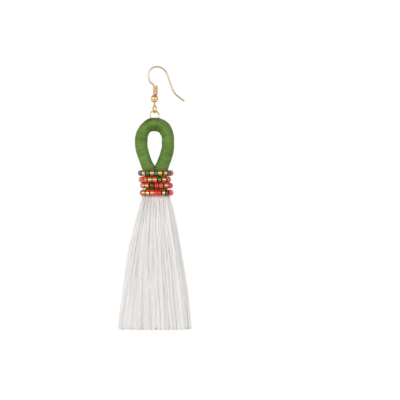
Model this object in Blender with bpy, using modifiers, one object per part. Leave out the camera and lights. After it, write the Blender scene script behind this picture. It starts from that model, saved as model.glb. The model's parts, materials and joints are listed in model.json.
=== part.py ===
"""Tassel earring: a wire hook, a jump ring, a thread-wrapped cord loop, a beaded neck and a yarn fringe.

The origin is the inner side of the hook's arch, where the earring hangs on an ear. +Z is up, +X is the side
that the hook's free end points to, and -Y is the front.
"""

import math

import bmesh
import bpy
from mathutils import Matrix, Vector

MM = 0.001

# Gaps between pieces
FIT_GAP = 0.08 * MM
LINK_GAP = 0.05 * MM

# Ear wire: the hook, from the top of its shaft to its free end
WIRE_RADIUS = 0.32 * MM
SHOULDER_RUN = 0.3 * MM
SHOULDER_RADIUS = 0.5 * MM
SHOULDER_TURN = math.radians(68)
ARCH_BACK_RADIUS = 3.5 * MM
ARCH_BACK_TURN = math.radians(148)
ARCH_FRONT_RADIUS = 3.95 * MM
ARCH_FRONT_TURN = math.radians(80)
HOOK_LEG = 6.5 * MM
TIP_RADIUS = 7.4 * MM
TIP_TURN = math.radians(31)
TIP_RUN = 3.3 * MM

# Ear wire: the eye, a teardrop below the ball, turned away from the hook's plane
EYE_NECK_RADIUS = 0.5 * MM
EYE_LEAN = math.radians(24)
EYE_SIDE = 3.0 * MM
EYE_RADIUS = 1.18 * MM
EYE_PLANE = math.radians(-55)

# Spring on the shaft
COIL_WIRE_RADIUS = 0.21 * MM
COIL_RADIUS = 0.715 * MM
COIL_PITCH = 0.46 * MM
COIL_TURNS = 7.5
COIL_SHIFT = 0.10 * MM
COIL_LAP = 0.15 * MM
COIL_POINTS_A_TURN = 12

# Ball on the shaft
BALL_RADIUS = 1.6 * MM
BALL_BORE = 0.6 * MM
BALL_SHIFT = -0.15 * MM

# Jump ring
RING_RADIUS = 1.86 * MM
RING_WIRE_RADIUS = 0.30 * MM
RING_PLANE = math.radians(20)
RING_CUT = 0.12 * MM
RING_CUT_ANGLE = math.radians(48)

# Cord loop: half of it, from the top down one side
CORD_RADIUS = 2.3 * MM
CORD_PINCH_RADIUS = 2.5 * MM
CORD_NECK_RADIUS = 2.25 * MM
LOOP_TOP_RADIUS = 4.65 * MM
LOOP_TOP_TURN = math.radians(60)
LOOP_SIDE_RADIUS = 10.5 * MM
LOOP_LEAN = math.radians(17)
LOOP_FOOT_RADIUS = 6.0 * MM
RING_BITE = 0.97 * MM
SWING_RANGE = math.radians(20)
TUNNEL_REACH = math.radians(100)
TUNNEL_ROWS = 24
TUNNEL_SIDES = 12

# Where the cord thickens to the pinch and thins to the neck, as shares of the way down to the neck
PINCH_SHARES = (0.45, 0.80)
NECK_SHARES = (0.84, 0.98)

# Neck and its string of beads
BINDING_WALL = 0.25 * MM
STADIUM_SIDES = 28
BEAD_DIAMETER = 2.1 * MM
FIRST_ROW_RISE = 0.28
ROW_STEPS = (1.24, 1.12, 1.39)
LAST_ROW_RISE = 0.62
STRAND_START = 0.22
STEP_SHARE = 0.2
STRAND_POINTS_A_TURN = 22

# Fringe
FRINGE_LENGTH = 53.3 * MM
FRINGE_HALF_WIDTH = 14.7 * MM
FRINGE_HALF_DEPTH = 6.5 * MM
HEAD_HEIGHT = 2.4 * MM
LOCKS = 26
LOCK_OVERLAP = 1.2
LOCK_FLATNESS = 0.62
LOCK_SINK = 0.85
LOCK_SWAY = 0.35
LOCK_START = 0.012
LOCK_ROWS = 9
LOCK_SIDES = 7
TRIM_WAVE = 0.35 * MM

# Outline of the fringe: how far down, and how far it has spread from the neck's size to its full size, on
# its left, its right and in depth
FRINGE_SECTIONS = (
    {"down": 0.00, "left": 0.00, "right": 0.03, "deep": 0.02},
    {"down": 0.05, "left": 0.14, "right": 0.15, "deep": 0.14},
    {"down": 0.12, "left": 0.23, "right": 0.25, "deep": 0.28},
    {"down": 0.21, "left": 0.34, "right": 0.37, "deep": 0.42},
    {"down": 0.30, "left": 0.46, "right": 0.46, "deep": 0.54},
    {"down": 0.39, "left": 0.58, "right": 0.58, "deep": 0.64},
    {"down": 0.48, "left": 0.67, "right": 0.62, "deep": 0.73},
    {"down": 0.60, "left": 0.76, "right": 0.72, "deep": 0.82},
    {"down": 0.72, "left": 0.85, "right": 0.82, "deep": 0.90},
    {"down": 0.88, "left": 0.91, "right": 0.94, "deep": 0.97},
    {"down": 1.00, "left": 0.96, "right": 1.03, "deep": 1.00},
)

FINISHES = {
    "gold": {"colour": (0.80, 0.52, 0.25), "roughness": 0.22, "metallic": 1.0},
    "pale_gold": {"colour": (0.86, 0.80, 0.62), "roughness": 0.20, "metallic": 1.0},
    "green_thread": {"colour": (0.15, 0.25, 0.07), "roughness": 0.70, "metallic": 0.0},
    "green_binding": {"colour": (0.13, 0.22, 0.05), "roughness": 0.70, "metallic": 0.0},
    "glass_beads": {"colour": (0.75, 0.16, 0.06), "roughness": 0.15, "metallic": 0.0},
    "white_yarn": {"colour": (0.76, 0.74, 0.71), "roughness": 0.85, "metallic": 0.0},
}


def clear_scene():
    for obj in list(bpy.data.objects):
        bpy.data.objects.remove(obj, do_unlink=True)


def new_collection(name):
    group = bpy.data.collections.new(name)
    bpy.context.scene.collection.children.link(group)
    return group


def make_material(name):
    finish = FINISHES[name]
    material = bpy.data.materials.new(name)
    material.use_nodes = True
    shader = material.node_tree.nodes["Principled BSDF"]
    shader.inputs["Base Color"].default_value = (*finish["colour"], 1.0)
    shader.inputs["Roughness"].default_value = finish["roughness"]
    shader.inputs["Metallic"].default_value = finish["metallic"]
    return material


def heading_vector(heading):
    """Direction in a flat wire's plane: 0 is up, and positive angles turn towards +across."""
    return Vector((math.sin(heading), math.cos(heading)))


def follow_bends(start, heading, bends, step=math.radians(12)):
    """Points of a flat wire, where each bend is a straight run, then an arc of a radius through a turn."""
    place = Vector(start)
    points = [place.copy()]
    for run, radius, turn in bends:
        if run > 0:
            place = place + heading_vector(heading) * run
            points.append(place.copy())
        side = math.copysign(math.pi / 2, turn)
        centre = place + heading_vector(heading + side) * radius
        count = max(2, round(abs(turn) / step))
        for index in range(1, count + 1):
            angle = heading + turn * index / count
            points.append(centre - heading_vector(angle + side) * radius)
        place = points[-1]
        heading += turn
    return points, heading


def stadium_point(angle, half_straight, radius, height):
    """A point on two half circles joined by straight sides, angle measured round the nearer half circle."""
    across = math.copysign(half_straight, math.cos(angle)) if abs(math.cos(angle)) > 1e-6 else 0.0
    return Vector((across + radius * math.cos(angle), radius * math.sin(angle), height))


def smooth_step(share):
    share = min(max(share, 0.0), 1.0)
    return share * share * (3 - 2 * share)


def ramp(value, limits):
    return smooth_step((value - limits[0]) / (limits[1] - limits[0]))


def add_mesh_object(name, mesh, group, material=None):
    obj = bpy.data.objects.new(name, mesh)
    group.objects.link(obj)
    if material:
        mesh.materials.clear()
        mesh.materials.append(material)
    mesh.shade_smooth()
    mesh.set_sharp_from_angle(angle=math.radians(50))
    return obj


def solid_from_curve(name, curve, group, material):
    """The curve's mesh with its end caps welded on."""
    source = bpy.data.objects.new(name + "_curve", curve)
    group.objects.link(source)
    depsgraph = bpy.context.evaluated_depsgraph_get()
    mesh = bpy.data.meshes.new_from_object(source.evaluated_get(depsgraph))
    bpy.data.objects.remove(source, do_unlink=True)
    shape = bmesh.new()
    shape.from_mesh(mesh)
    bmesh.ops.remove_doubles(shape, verts=shape.verts, dist=0.002 * MM)
    shape.to_mesh(mesh)
    shape.free()
    mesh.name = name
    return add_mesh_object(name, mesh, group, material)


def tube(name, points, radius, resolution, group, material, shares=None):
    curve = bpy.data.curves.new(name, "CURVE")
    curve.dimensions = "3D"
    curve.bevel_depth = radius
    curve.bevel_resolution = resolution
    curve.use_fill_caps = True
    spline = curve.splines.new("POLY")
    spline.points.add(len(points) - 1)
    for index, place in enumerate(points):
        spline.points[index].co = (*place, 1.0)
        spline.points[index].radius = shares[index] if shares else 1.0
    return solid_from_curve(name, curve, group, material)


def add_pivot(name, place, parent, group):
    pivot = bpy.data.objects.new(name, None)
    pivot.empty_display_size = 3 * MM
    pivot.location = place if parent is None else place - parent.location
    pivot.parent = parent
    group.objects.link(pivot)
    return pivot


def hang(obj, pivot, place):
    """Parent an object to a joint's empty, with its own origin there and its shape where it was."""
    obj.data.transform(Matrix.Translation(-place))
    obj.parent = pivot


def loft(name, rings, group, material=None):
    """A closed solid through rings of points, listed from the top down and counterclockwise from above."""
    shape = bmesh.new()
    rows = [[shape.verts.new(point) for point in ring] for ring in rings]
    count = len(rows[0])
    for upper, lower in zip(rows, rows[1:]):
        for index in range(count):
            following = (index + 1) % count
            shape.faces.new((upper[index], lower[index], lower[following], upper[following]))
    shape.faces.new(rows[0])
    shape.faces.new(list(reversed(rows[-1])))
    mesh = bpy.data.meshes.new(name)
    shape.to_mesh(mesh)
    shape.free()
    return add_mesh_object(name, mesh, group, material)


def as_cutter(obj):
    obj.hide_render = True
    obj.display_type = "WIRE"


# Places that the pieces share, each worked out from the one above it

def plan_hook():
    bends = (
        (SHOULDER_RUN, SHOULDER_RADIUS, -SHOULDER_TURN),
        (0.0, ARCH_BACK_RADIUS, ARCH_BACK_TURN),
        (0.0, ARCH_FRONT_RADIUS, ARCH_FRONT_TURN),
        (HOOK_LEG, TIP_RADIUS, -TIP_TURN),
    )
    points, heading = follow_bends((0, 0), 0.0, bends)
    points.append(points[-1] + heading_vector(heading) * (TIP_RUN - WIRE_RADIUS))
    points.append(points[-1] + heading_vector(heading) * WIRE_RADIUS * 0.7)
    points.append(points[-1] + heading_vector(heading) * WIRE_RADIUS * 0.3)
    shoulder_rise = SHOULDER_RUN + SHOULDER_RADIUS * math.sin(SHOULDER_TURN)
    back_rise = ARCH_BACK_RADIUS * math.sin(SHOULDER_TURN)
    past_upright = ARCH_BACK_TURN - SHOULDER_TURN
    top_rise = shoulder_rise + back_rise + ARCH_BACK_RADIUS * math.sin(past_upright)
    top_rise += ARCH_FRONT_RADIUS * (1 - math.sin(past_upright))
    top_across = -SHOULDER_RADIUS * (1 - math.cos(SHOULDER_TURN))
    top_across += ARCH_BACK_RADIUS * (math.cos(SHOULDER_TURN) - math.cos(past_upright))
    top_across += ARCH_FRONT_RADIUS * math.cos(past_upright)
    shift = Vector((-top_across, WIRE_RADIUS - top_rise))
    return [point + shift for point in points]


def plan_eye(neck_height):
    """Points from the eye's closed end, round it and up to the neck, and the depth of its lowest point."""
    reach = EYE_RADIUS / math.tan(EYE_LEAN)
    end_run = reach - (2 * WIRE_RADIUS + LINK_GAP) / math.sin(2 * EYE_LEAN)
    bends = (
        (0.0, EYE_NECK_RADIUS, EYE_LEAN),
        (EYE_SIDE, EYE_RADIUS, -(math.pi + 2 * EYE_LEAN)),
    )
    points, heading = follow_bends((0, neck_height), math.pi, bends)
    points.append(points[-1] + heading_vector(heading) * end_run)
    points.reverse()
    depth = EYE_NECK_RADIUS * math.sin(EYE_LEAN) + EYE_SIDE * math.cos(EYE_LEAN)
    depth += EYE_RADIUS * (1 + math.sin(EYE_LEAN))
    across = EYE_RADIUS * math.cos(EYE_LEAN) - EYE_SIDE * math.sin(EYE_LEAN)
    across -= EYE_NECK_RADIUS * (1 - math.cos(EYE_LEAN))
    return points, depth, across


HOOK_POINTS = plan_hook()
SHAFT_X = HOOK_POINTS[0].x
SHAFT_TOP = HOOK_POINTS[0].y
COIL_TOP = SHAFT_TOP + COIL_LAP - COIL_WIRE_RADIUS
COIL_BOTTOM = COIL_TOP - COIL_PITCH * COIL_TURNS
SEAT = BALL_RADIUS + COIL_WIRE_RADIUS + FIT_GAP
BALL_Z = COIL_BOTTOM - math.sqrt(SEAT ** 2 - (COIL_RADIUS - BALL_SHIFT) ** 2)
BALL_RIM = BALL_Z - math.sqrt(BALL_RADIUS ** 2 - BALL_BORE ** 2)
EYE_ROOM = BALL_BORE - WIRE_RADIUS - FIT_GAP - EYE_NECK_RADIUS * (1 - math.cos(EYE_LEAN))
EYE_NECK_Z = BALL_RIM + EYE_NECK_RADIUS * math.sin(EYE_LEAN) + EYE_ROOM / math.tan(EYE_LEAN)
EYE_POINTS, EYE_DEPTH, EYE_ACROSS = plan_eye(EYE_NECK_Z)
EYE_AXIS = Vector((math.cos(EYE_PLANE), math.sin(EYE_PLANE), 0))
RING_AXIS = Vector((math.cos(RING_PLANE), math.sin(RING_PLANE), 0))
RING_NORMAL = Vector((-math.sin(RING_PLANE), math.cos(RING_PLANE), 0))
EYE_FOOT = Vector((SHAFT_X, 0, EYE_NECK_Z - EYE_DEPTH)) + EYE_AXIS * EYE_ACROSS
HANG_LINE = Vector((EYE_FOOT.x, EYE_FOOT.y, 0))
RING_TOP = EYE_FOOT.z + WIRE_RADIUS + RING_WIRE_RADIUS + LINK_GAP
RING_CENTRE = HANG_LINE + Vector((0, 0, RING_TOP - RING_RADIUS))
RING_FOOT = RING_CENTRE - Vector((0, 0, RING_RADIUS))
LOOP_TOP = RING_FOOT + Vector((0, 0, RING_BITE - CORD_RADIUS))
LEG_OFFSET = CORD_NECK_RADIUS + LINK_GAP
BINDING_INNER = CORD_NECK_RADIUS + FIT_GAP
BINDING_OUTER = BINDING_INNER + BINDING_WALL


def plan_loop():
    """One half of the cord's route as (across, up) from the loop's top, and the depth where it is upright."""
    top = LOOP_TOP_RADIUS * math.sin(LOOP_TOP_TURN)
    widest = top + LOOP_SIDE_RADIUS * (1 - math.sin(LOOP_TOP_TURN))
    bends_take = (LOOP_SIDE_RADIUS + LOOP_FOOT_RADIUS) * (1 - math.cos(LOOP_LEAN))
    run = (widest - bends_take - LEG_OFFSET) / math.sin(LOOP_LEAN)
    side_turn = math.pi / 2 - LOOP_TOP_TURN + LOOP_LEAN
    bends = (
        (0.0, LOOP_TOP_RADIUS, LOOP_TOP_TURN),
        (0.0, LOOP_SIDE_RADIUS, side_turn),
        (run, LOOP_FOOT_RADIUS, -LOOP_LEAN),
    )
    points, heading = follow_bends((0, 0), math.pi / 2, bends, math.radians(8))
    return points, -points[-1].y


LOOP_POINTS, LOOP_DEPTH = plan_loop()
NECK_TOP = LOOP_TOP.z - LOOP_DEPTH - LINK_GAP
NECK_HEIGHT = BEAD_DIAMETER * (sum(ROW_STEPS) - FIRST_ROW_RISE + LAST_ROW_RISE)
NECK_FOOT = NECK_TOP - NECK_HEIGHT
FRINGE_FOOT = NECK_FOOT - FRINGE_LENGTH
LEG_FOOT = NECK_FOOT + HEAD_HEIGHT + FIT_GAP
ROW_HEIGHTS = [NECK_TOP + BEAD_DIAMETER * (FIRST_ROW_RISE - sum(ROW_STEPS[:row])) for row in range(4)]


def build_ear_wire(group, material):
    lower = [Vector((SHAFT_X, 0, point.y)) + EYE_AXIS * point.x for point in EYE_POINTS]
    upper = [Vector((point.x, 0, point.y)) for point in HOOK_POINTS]
    shares = [1.0] * (len(lower) + len(upper) - 2) + [0.8, 0.45]
    return tube("ear_wire", lower + upper, WIRE_RADIUS, 2, group, material, shares)


def build_hook_coil(group, material):
    points = []
    for index in range(round(COIL_TURNS * COIL_POINTS_A_TURN) + 1):
        angle = 2 * math.pi * index / COIL_POINTS_A_TURN
        across = SHAFT_X + COIL_SHIFT + COIL_RADIUS * math.cos(angle)
        height = COIL_BOTTOM + COIL_PITCH * index / COIL_POINTS_A_TURN
        points.append(Vector((across, COIL_RADIUS * math.sin(angle), height)))
    return tube("hook_coil", points, COIL_WIRE_RADIUS, 1, group, material)


def build_hook_ball(group, material):
    """A sphere with a straight bore: its half outline, top to bottom, turned about the bore's axis."""
    rim = math.asin(BALL_BORE / BALL_RADIUS)
    steps = 9
    shape = bmesh.new()
    ring = []
    for index in range(steps + 1):
        angle = rim + (math.pi - 2 * rim) * index / steps
        ring.append(shape.verts.new((BALL_RADIUS * math.sin(angle), 0, BALL_RADIUS * math.cos(angle))))
    for first, second in zip(ring, ring[1:] + ring[:1]):
        shape.edges.new((first, second))
    mesh = bpy.data.meshes.new("hook_ball")
    shape.to_mesh(mesh)
    shape.free()
    obj = add_mesh_object("hook_ball", mesh, group, material)
    obj.location = (SHAFT_X + BALL_SHIFT, 0, BALL_Z)
    screw = obj.modifiers.new("turn", "SCREW")
    screw.steps = 16
    screw.render_steps = 16
    screw.use_merge_vertices = True
    screw.merge_threshold = 0.00001
    screw.use_smooth_shade = True
    return obj


def build_jump_ring(group, material):
    half_cut = RING_CUT / 2 / RING_RADIUS
    steps = 26
    points = []
    for index in range(steps + 1):
        angle = RING_CUT_ANGLE + half_cut + (2 * math.pi - 2 * half_cut) * index / steps
        rise = Vector((0, 0, RING_RADIUS * math.sin(angle)))
        points.append(RING_CENTRE + RING_AXIS * RING_RADIUS * math.cos(angle) + rise)
    return tube("jump_ring", points, RING_WIRE_RADIUS, 1, group, material)


def build_ring_tunnel(group):
    """Cutter along the lower part of the ring: an oval section, wider with height by the cord's swing."""
    rings = []
    for row in range(TUNNEL_ROWS + 1):
        around = TUNNEL_REACH * (1 - 2 * row / TUNNEL_ROWS)
        inward = Vector((0, 0, math.cos(around))) - RING_AXIS * math.sin(around)
        height = RING_RADIUS * (1 - math.cos(around))
        thick = RING_WIRE_RADIUS + FIT_GAP + height * (1 - math.cos(SWING_RANGE))
        wide = RING_WIRE_RADIUS + FIT_GAP + height * math.sin(SWING_RANGE)
        centre = RING_CENTRE - inward * RING_RADIUS
        ring = []
        for corner in range(TUNNEL_SIDES):
            turn = 2 * math.pi * (corner + 0.5) / TUNNEL_SIDES
            ring.append(centre + inward * thick * math.cos(turn) - RING_NORMAL * wide * math.sin(turn))
        rings.append(ring)
    obj = loft("ring_tunnel", rings, group)
    as_cutter(obj)
    return obj


def build_cord_loop(group, cutters, material):
    """A tube down both sides from the top, thicker where the legs press together, with the ring's hole."""
    leg = [Vector((LEG_OFFSET, LEG_FOOT - LOOP_TOP.z))]
    half = LOOP_POINTS + leg
    shares = []
    for point in half:
        depth = -point.y / LOOP_DEPTH
        pinch = ramp(depth, PINCH_SHARES)
        neck = ramp(depth, NECK_SHARES)
        shares.append(1 + pinch * (CORD_PINCH_RADIUS / CORD_RADIUS - 1))
        shares[-1] += neck * (CORD_NECK_RADIUS - CORD_PINCH_RADIUS) / CORD_RADIUS
    left = [LOOP_TOP + Vector((-point.x, 0, point.y)) for point in reversed(half[1:])]
    right = [LOOP_TOP + Vector((point.x, 0, point.y)) for point in half]
    all_shares = shares[:0:-1] + shares
    obj = tube("cord_loop", left + right, CORD_RADIUS, 4, group, material, all_shares)
    cut = obj.modifiers.new("ring_tunnel", "BOOLEAN")
    cut.operation = "DIFFERENCE"
    cut.object = build_ring_tunnel(cutters)
    return obj


def add_stadium_spline(curve, radius):
    spline = curve.splines.new("POLY")
    spline.points.add(STADIUM_SIDES - 1)
    for index in range(STADIUM_SIDES):
        angle = 2 * math.pi * (index + 0.5) / STADIUM_SIDES
        place = stadium_point(angle, LEG_OFFSET, radius, 0.0)
        spline.points[index].co = (place.x, place.y, 0.0, 1.0)
    spline.use_cyclic_u = True


def build_stadium(name, radii, top, foot, group, material):
    curve = bpy.data.curves.new(name, "CURVE")
    curve.dimensions = "2D"
    curve.fill_mode = "BOTH"
    curve.extrude = (top - foot) / 2
    for radius in radii:
        add_stadium_spline(curve, radius)
    obj = solid_from_curve(name, curve, group, material)
    obj.data.transform(Matrix.Translation(HANG_LINE + Vector((0, 0, (top + foot) / 2))))
    return obj


def strand_height(turn):
    """Level along the front, and down to the next row along the back."""
    height = ROW_HEIGHTS[0]
    for row in range(1, len(ROW_HEIGHTS)):
        fall = ROW_HEIGHTS[row - 1] - ROW_HEIGHTS[row]
        height -= fall * smooth_step((turn - row + STEP_SHARE) / (2 * STEP_SHARE))
    return height


def build_bead_strand(group, material):
    """Four turns round the binding, begun and ended at the back, as one tube of the beads' diameter."""
    radius = BINDING_OUTER + FIT_GAP + BEAD_DIAMETER / 2
    turns = len(ROW_HEIGHTS) - 2 * STRAND_START
    count = round(turns * STRAND_POINTS_A_TURN)
    points = []
    for index in range(count + 1):
        turn = STRAND_START + turns * index / count
        angle = math.pi / 2 + 2 * math.pi * turn
        points.append(HANG_LINE + stadium_point(angle, LEG_OFFSET, radius, strand_height(turn)))
    return tube("bead_strand", points, BEAD_DIAMETER / 2, 2, group, material)


def fringe_section(down):
    """Half sizes of the fringe at a share of the way down: left, right and deep."""
    rows = FRINGE_SECTIONS
    after = next((index for index, row in enumerate(rows) if row["down"] >= down), len(rows) - 1)
    before = max(after - 1, 0)
    gap = rows[after]["down"] - rows[before]["down"]
    share = (down - rows[before]["down"]) / gap if gap > 0 else 0.0
    spread = {key: rows[before][key] + share * (rows[after][key] - rows[before][key]) for key in rows[0]}
    neck_width = LEG_OFFSET + BINDING_OUTER
    left = neck_width + (FRINGE_HALF_WIDTH - neck_width) * spread["left"]
    right = neck_width + (FRINGE_HALF_WIDTH - neck_width) * spread["right"]
    deep = BINDING_OUTER + (FRINGE_HALF_DEPTH - BINDING_OUTER) * spread["deep"]
    return left, right, deep


def fringe_point(angle, down, inset):
    left, right, deep = fringe_section(down)
    half = right if math.cos(angle) > 0 else left
    across = (half - inset) * math.cos(angle)
    depth = (deep - inset) * math.sin(angle)
    return HANG_LINE + Vector((across, depth, NECK_FOOT - FIT_GAP - down * FRINGE_LENGTH))


def lock_sizes(down):
    """Half width and half thickness of one lock, so that neighbours overlap all the way down."""
    left, right, deep = fringe_section(down)
    wide = (left + right) / 2
    ratio = ((wide - deep) / (wide + deep)) ** 2
    around = math.pi * (wide + deep) * (1 + ratio / 4)
    half_width = around / LOCKS / 2 * LOCK_OVERLAP
    return half_width, half_width * LOCK_FLATNESS


def add_lock(index, group):
    """One lock of yarn: flat oval sections down the outside of the fringe, swaying a little."""
    spacing = 2 * math.pi / LOCKS
    angle = spacing * (index + 0.5)
    phase = 2.4 * index
    foot = 1 - TRIM_WAVE / FRINGE_LENGTH * (1 + math.sin(5.1 * index))
    rings = []
    for row in range(LOCK_ROWS):
        down = LOCK_START + (foot - LOCK_START) * row / (LOCK_ROWS - 1)
        half_width, half_thick = lock_sizes(down)
        sway = spacing * LOCK_SWAY * math.sin(phase + 4 * down) * down
        centre = fringe_point(angle + sway, down, half_thick)
        outward = Vector((math.cos(angle), math.sin(angle) * FRINGE_HALF_WIDTH / FRINGE_HALF_DEPTH, 0))
        outward.normalize()
        along = Vector((-outward.y, outward.x, 0))
        ring = []
        for corner in range(LOCK_SIDES):
            turn = 2 * math.pi * corner / LOCK_SIDES
            ring.append(centre + outward * half_thick * math.cos(turn) + along * half_width * math.sin(turn))
        rings.append(ring)
    lock = loft(f"lock_{index:02d}", rings, group)
    as_cutter(lock)


def build_tassel_fringe(group, locks, material):
    """A head in the binding and a core that follows the outline, with the locks fused to it."""
    turns = [2 * math.pi * (corner + 0.5) / STADIUM_SIDES for corner in range(STADIUM_SIDES)]
    rings = []
    for height in (LEG_FOOT - FIT_GAP, NECK_FOOT):
        rings.append([HANG_LINE + stadium_point(turn, LEG_OFFSET, CORD_NECK_RADIUS, height) for turn in turns])
    for row in FRINGE_SECTIONS:
        down = min(row["down"], 1 - 3 * TRIM_WAVE / FRINGE_LENGTH)
        inset = lock_sizes(down)[1] * LOCK_SINK
        rings.append([fringe_point(turn, down, inset) for turn in turns])
    obj = loft("tassel_fringe", rings, group, material)
    for index in range(LOCKS):
        add_lock(index, locks)
    fuse = obj.modifiers.new("fuse_locks", "BOOLEAN")
    fuse.operation = "UNION"
    fuse.operand_type = "COLLECTION"
    fuse.collection = locks
    return obj


def main():
    clear_scene()
    group = new_collection("tassel_earring")
    cutters = new_collection("cutters")
    locks = new_collection("fringe_locks")
    paint = {name: make_material(name) for name in FINISHES}

    build_ear_wire(group, paint["gold"])
    build_hook_coil(group, paint["gold"])
    build_hook_ball(group, paint["gold"])

    ring_pivot = add_pivot("ring_pivot", EYE_FOOT, None, group)
    hang(build_jump_ring(group, paint["pale_gold"]), ring_pivot, EYE_FOOT)

    drop_pivot = add_pivot("drop_pivot", RING_FOOT, ring_pivot, group)
    drop = (
        build_cord_loop(group, cutters, paint["green_thread"]),
        build_stadium(
            "neck_binding", (BINDING_OUTER, BINDING_INNER), NECK_TOP, NECK_FOOT, group, paint["green_binding"]
        ),
        build_bead_strand(group, paint["glass_beads"]),
        build_tassel_fringe(group, locks, paint["white_yarn"]),
    )
    for obj in drop:
        hang(obj, drop_pivot, RING_FOOT)


main()
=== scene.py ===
"""Looks of a tassel earring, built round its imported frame.

Every new piece is a surface worked out with numpy: rings of points carried along a path, or a closed
profile carried round one. Lengths are metres, +Z is up and the front faces -Y.
"""

import json
import math

import bpy
import numpy as np
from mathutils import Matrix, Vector


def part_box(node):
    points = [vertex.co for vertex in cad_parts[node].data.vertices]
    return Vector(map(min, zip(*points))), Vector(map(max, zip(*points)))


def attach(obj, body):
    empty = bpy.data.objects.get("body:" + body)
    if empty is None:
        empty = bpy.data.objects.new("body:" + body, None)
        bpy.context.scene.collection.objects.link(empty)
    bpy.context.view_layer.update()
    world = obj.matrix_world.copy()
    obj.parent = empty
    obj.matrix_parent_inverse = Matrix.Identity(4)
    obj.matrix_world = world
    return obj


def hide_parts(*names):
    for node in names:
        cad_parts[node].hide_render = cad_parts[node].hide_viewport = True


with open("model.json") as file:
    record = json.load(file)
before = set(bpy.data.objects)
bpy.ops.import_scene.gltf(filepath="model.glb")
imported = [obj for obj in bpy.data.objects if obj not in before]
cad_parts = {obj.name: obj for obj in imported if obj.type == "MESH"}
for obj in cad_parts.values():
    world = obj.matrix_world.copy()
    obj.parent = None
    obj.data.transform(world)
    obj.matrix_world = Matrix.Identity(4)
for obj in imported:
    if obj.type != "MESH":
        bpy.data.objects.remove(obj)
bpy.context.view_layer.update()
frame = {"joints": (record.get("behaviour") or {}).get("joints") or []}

bl_info = {
    "name": "Tassel Earring",
    "version": (1, 0, 0),
    "blender": (4, 5, 0),
    "location": "View3D > Sidebar > Earring",
    "description": "Metal, thread, glass beads and yarn for the frame of a tassel earring",
    "category": "Add Mesh",
}

MM = 0.001
UP = np.array((0.0, 0.0, 1.0))
ACROSS = np.array((1.0, 0.0, 0.0))

# Places read from the frame
JOINTS = {joint["name"]: joint for joint in frame["joints"]}
EYE_FOOT = np.array(JOINTS["ring_swing"]["pos_m"])
RING_FOOT = np.array(JOINTS["drop_swing"]["pos_m"])
RING_AXIS = np.array(JOINTS["drop_swing"]["axis"])
RING_NORMAL = np.cross(UP, RING_AXIS)
EYE_AXIS = np.array(JOINTS["ring_swing"]["axis"])
SWING_RANGE = math.radians(JOINTS["drop_swing"]["range_deg"][1])
HANG_LINE = EYE_FOOT * (1, 1, 0)
COIL_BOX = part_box("hook_coil")
BALL_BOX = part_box("hook_ball")
NECK_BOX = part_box("neck_binding")
FRINGE_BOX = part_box("tassel_fringe")
NECK_TOP = NECK_BOX[1].z
NECK_FOOT = NECK_BOX[0].z
FRINGE_FOOT = FRINGE_BOX[0].z
HEAD_TOP = FRINGE_BOX[1].z
FIT_GAP = 0.08 * MM
LINK_GAP = 0.05 * MM

# Bends of the hook's wire, from the top of its shaft to its free end
WIRE_RADIUS = 0.32 * MM
SHAFT_LEAN = 0.38 * MM
SHOULDER_RADIUS = 0.5 * MM
SHOULDER_TURN = math.radians(52)
SHOULDER_RUN = 1.05 * MM
ARCH_FOOT_RADIUS = 1.75 * MM
ARCH_FOOT_TURN = math.radians(39)
ARCH_RISE = 1.53 * MM
ARCH_BACK_RADIUS = 3.23 * MM
ARCH_BACK_TURN = math.radians(96.5)
ARCH_FRONT_RADIUS = 4.37 * MM
ARCH_FRONT_TURN = math.radians(77)
HOOK_LEG = 6.15 * MM
TIP_RADIUS = 6.7 * MM
TIP_TURN = math.radians(33.5)
TIP_RUN = 3.3 * MM

# The wire is paler than the spring, and its eye is warmer, up to a place along it from the closed end
WIRE_TINT = (0.80, 0.90, 1.06)
EYE_TINT = (1.02, 0.79, 0.20)
EYE_TINT_ENDS = (3.2 * MM, 5.4 * MM)
GOLD_SHADE = (0.93, 0.86, 0.72)
PALE_GOLD_SHADE = (0.9, 0.84, 0.7)
WIRE_END_SHARE = 0.8

# The spring stands a little to the right of the shaft
COIL_SHIFT = 0.12 * MM
COIL_RADIUS = 0.955 * MM

# The eye below the ball, the ball and the jump ring
EYE_NECK_RADIUS = 0.5 * MM
EYE_LEAN = math.radians(32)
EYE_SIDE = 2.14 * MM
EYE_RADIUS = 1.18 * MM
BALL_RADIUS = 1.6 * MM
BALL_BORE = 0.6 * MM
RING_RADIUS = 1.86 * MM
RING_WIRE_RADIUS = 0.30 * MM
RING_CUT = 0.12 * MM
RING_END_SHARE = 0.82
SWING_STEPS = 15

# Half of the cord loop, from the top down one side
CORD_RADIUS = 2.3 * MM
CORD_PINCH_RADIUS = 2.5 * MM
CORD_NECK_RADIUS = 2.25 * MM
CORD_SIDES = 64

# How far the cord's surface stands off that plain form, in millimetres, by the distance below its top
CORD_FORM = {
    "below": (0.0, 0.6, 1.4, 2.6, 4.3, 5.9, 7.5, 9.1, 10.7, 12.3, 13.9, 15.5, 16.7, 17.9, 19.5),
    "left_outer": (0.08, 0, -0.12, 0.05, 0.24, 0.22, 0.14, 0.18, 0.24, 0.21, 0.08, 0, -0.04, -0.02, 0),
    "right_outer": (0.08, 0.2, 0.4, 0.45, 0.35, 0.3, 0.09, 0.26, 0.42, 0.4, 0.36, 0.06, 0.02, 0.05, 0),
    "left_inner": (0.83, 0.7, 0.45, 0.2, 0.15, 0.29, 0.36, 0.28, 0.08, -0.08, -0.18, -0.15, 0.08, 0.5, 0.5),
    "right_inner": (0.83, 0.75, 0.55, 0.25, 0.05, 0.14, 0.28, 0.14, 0, 0.02, 0, 0.08, 0.27, 0.5, 0.5),
}
LOOP_TOP_RADIUS = 4.65 * MM
LOOP_TOP_TURN = math.radians(60)
LOOP_SIDE_RADIUS = 10.5 * MM
LOOP_LEAN = math.radians(17)
LOOP_FOOT_RADIUS = 6.0 * MM
RING_BITE = 0.97 * MM
LOOP_TOP = RING_FOOT + (RING_BITE - CORD_RADIUS) * UP
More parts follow.
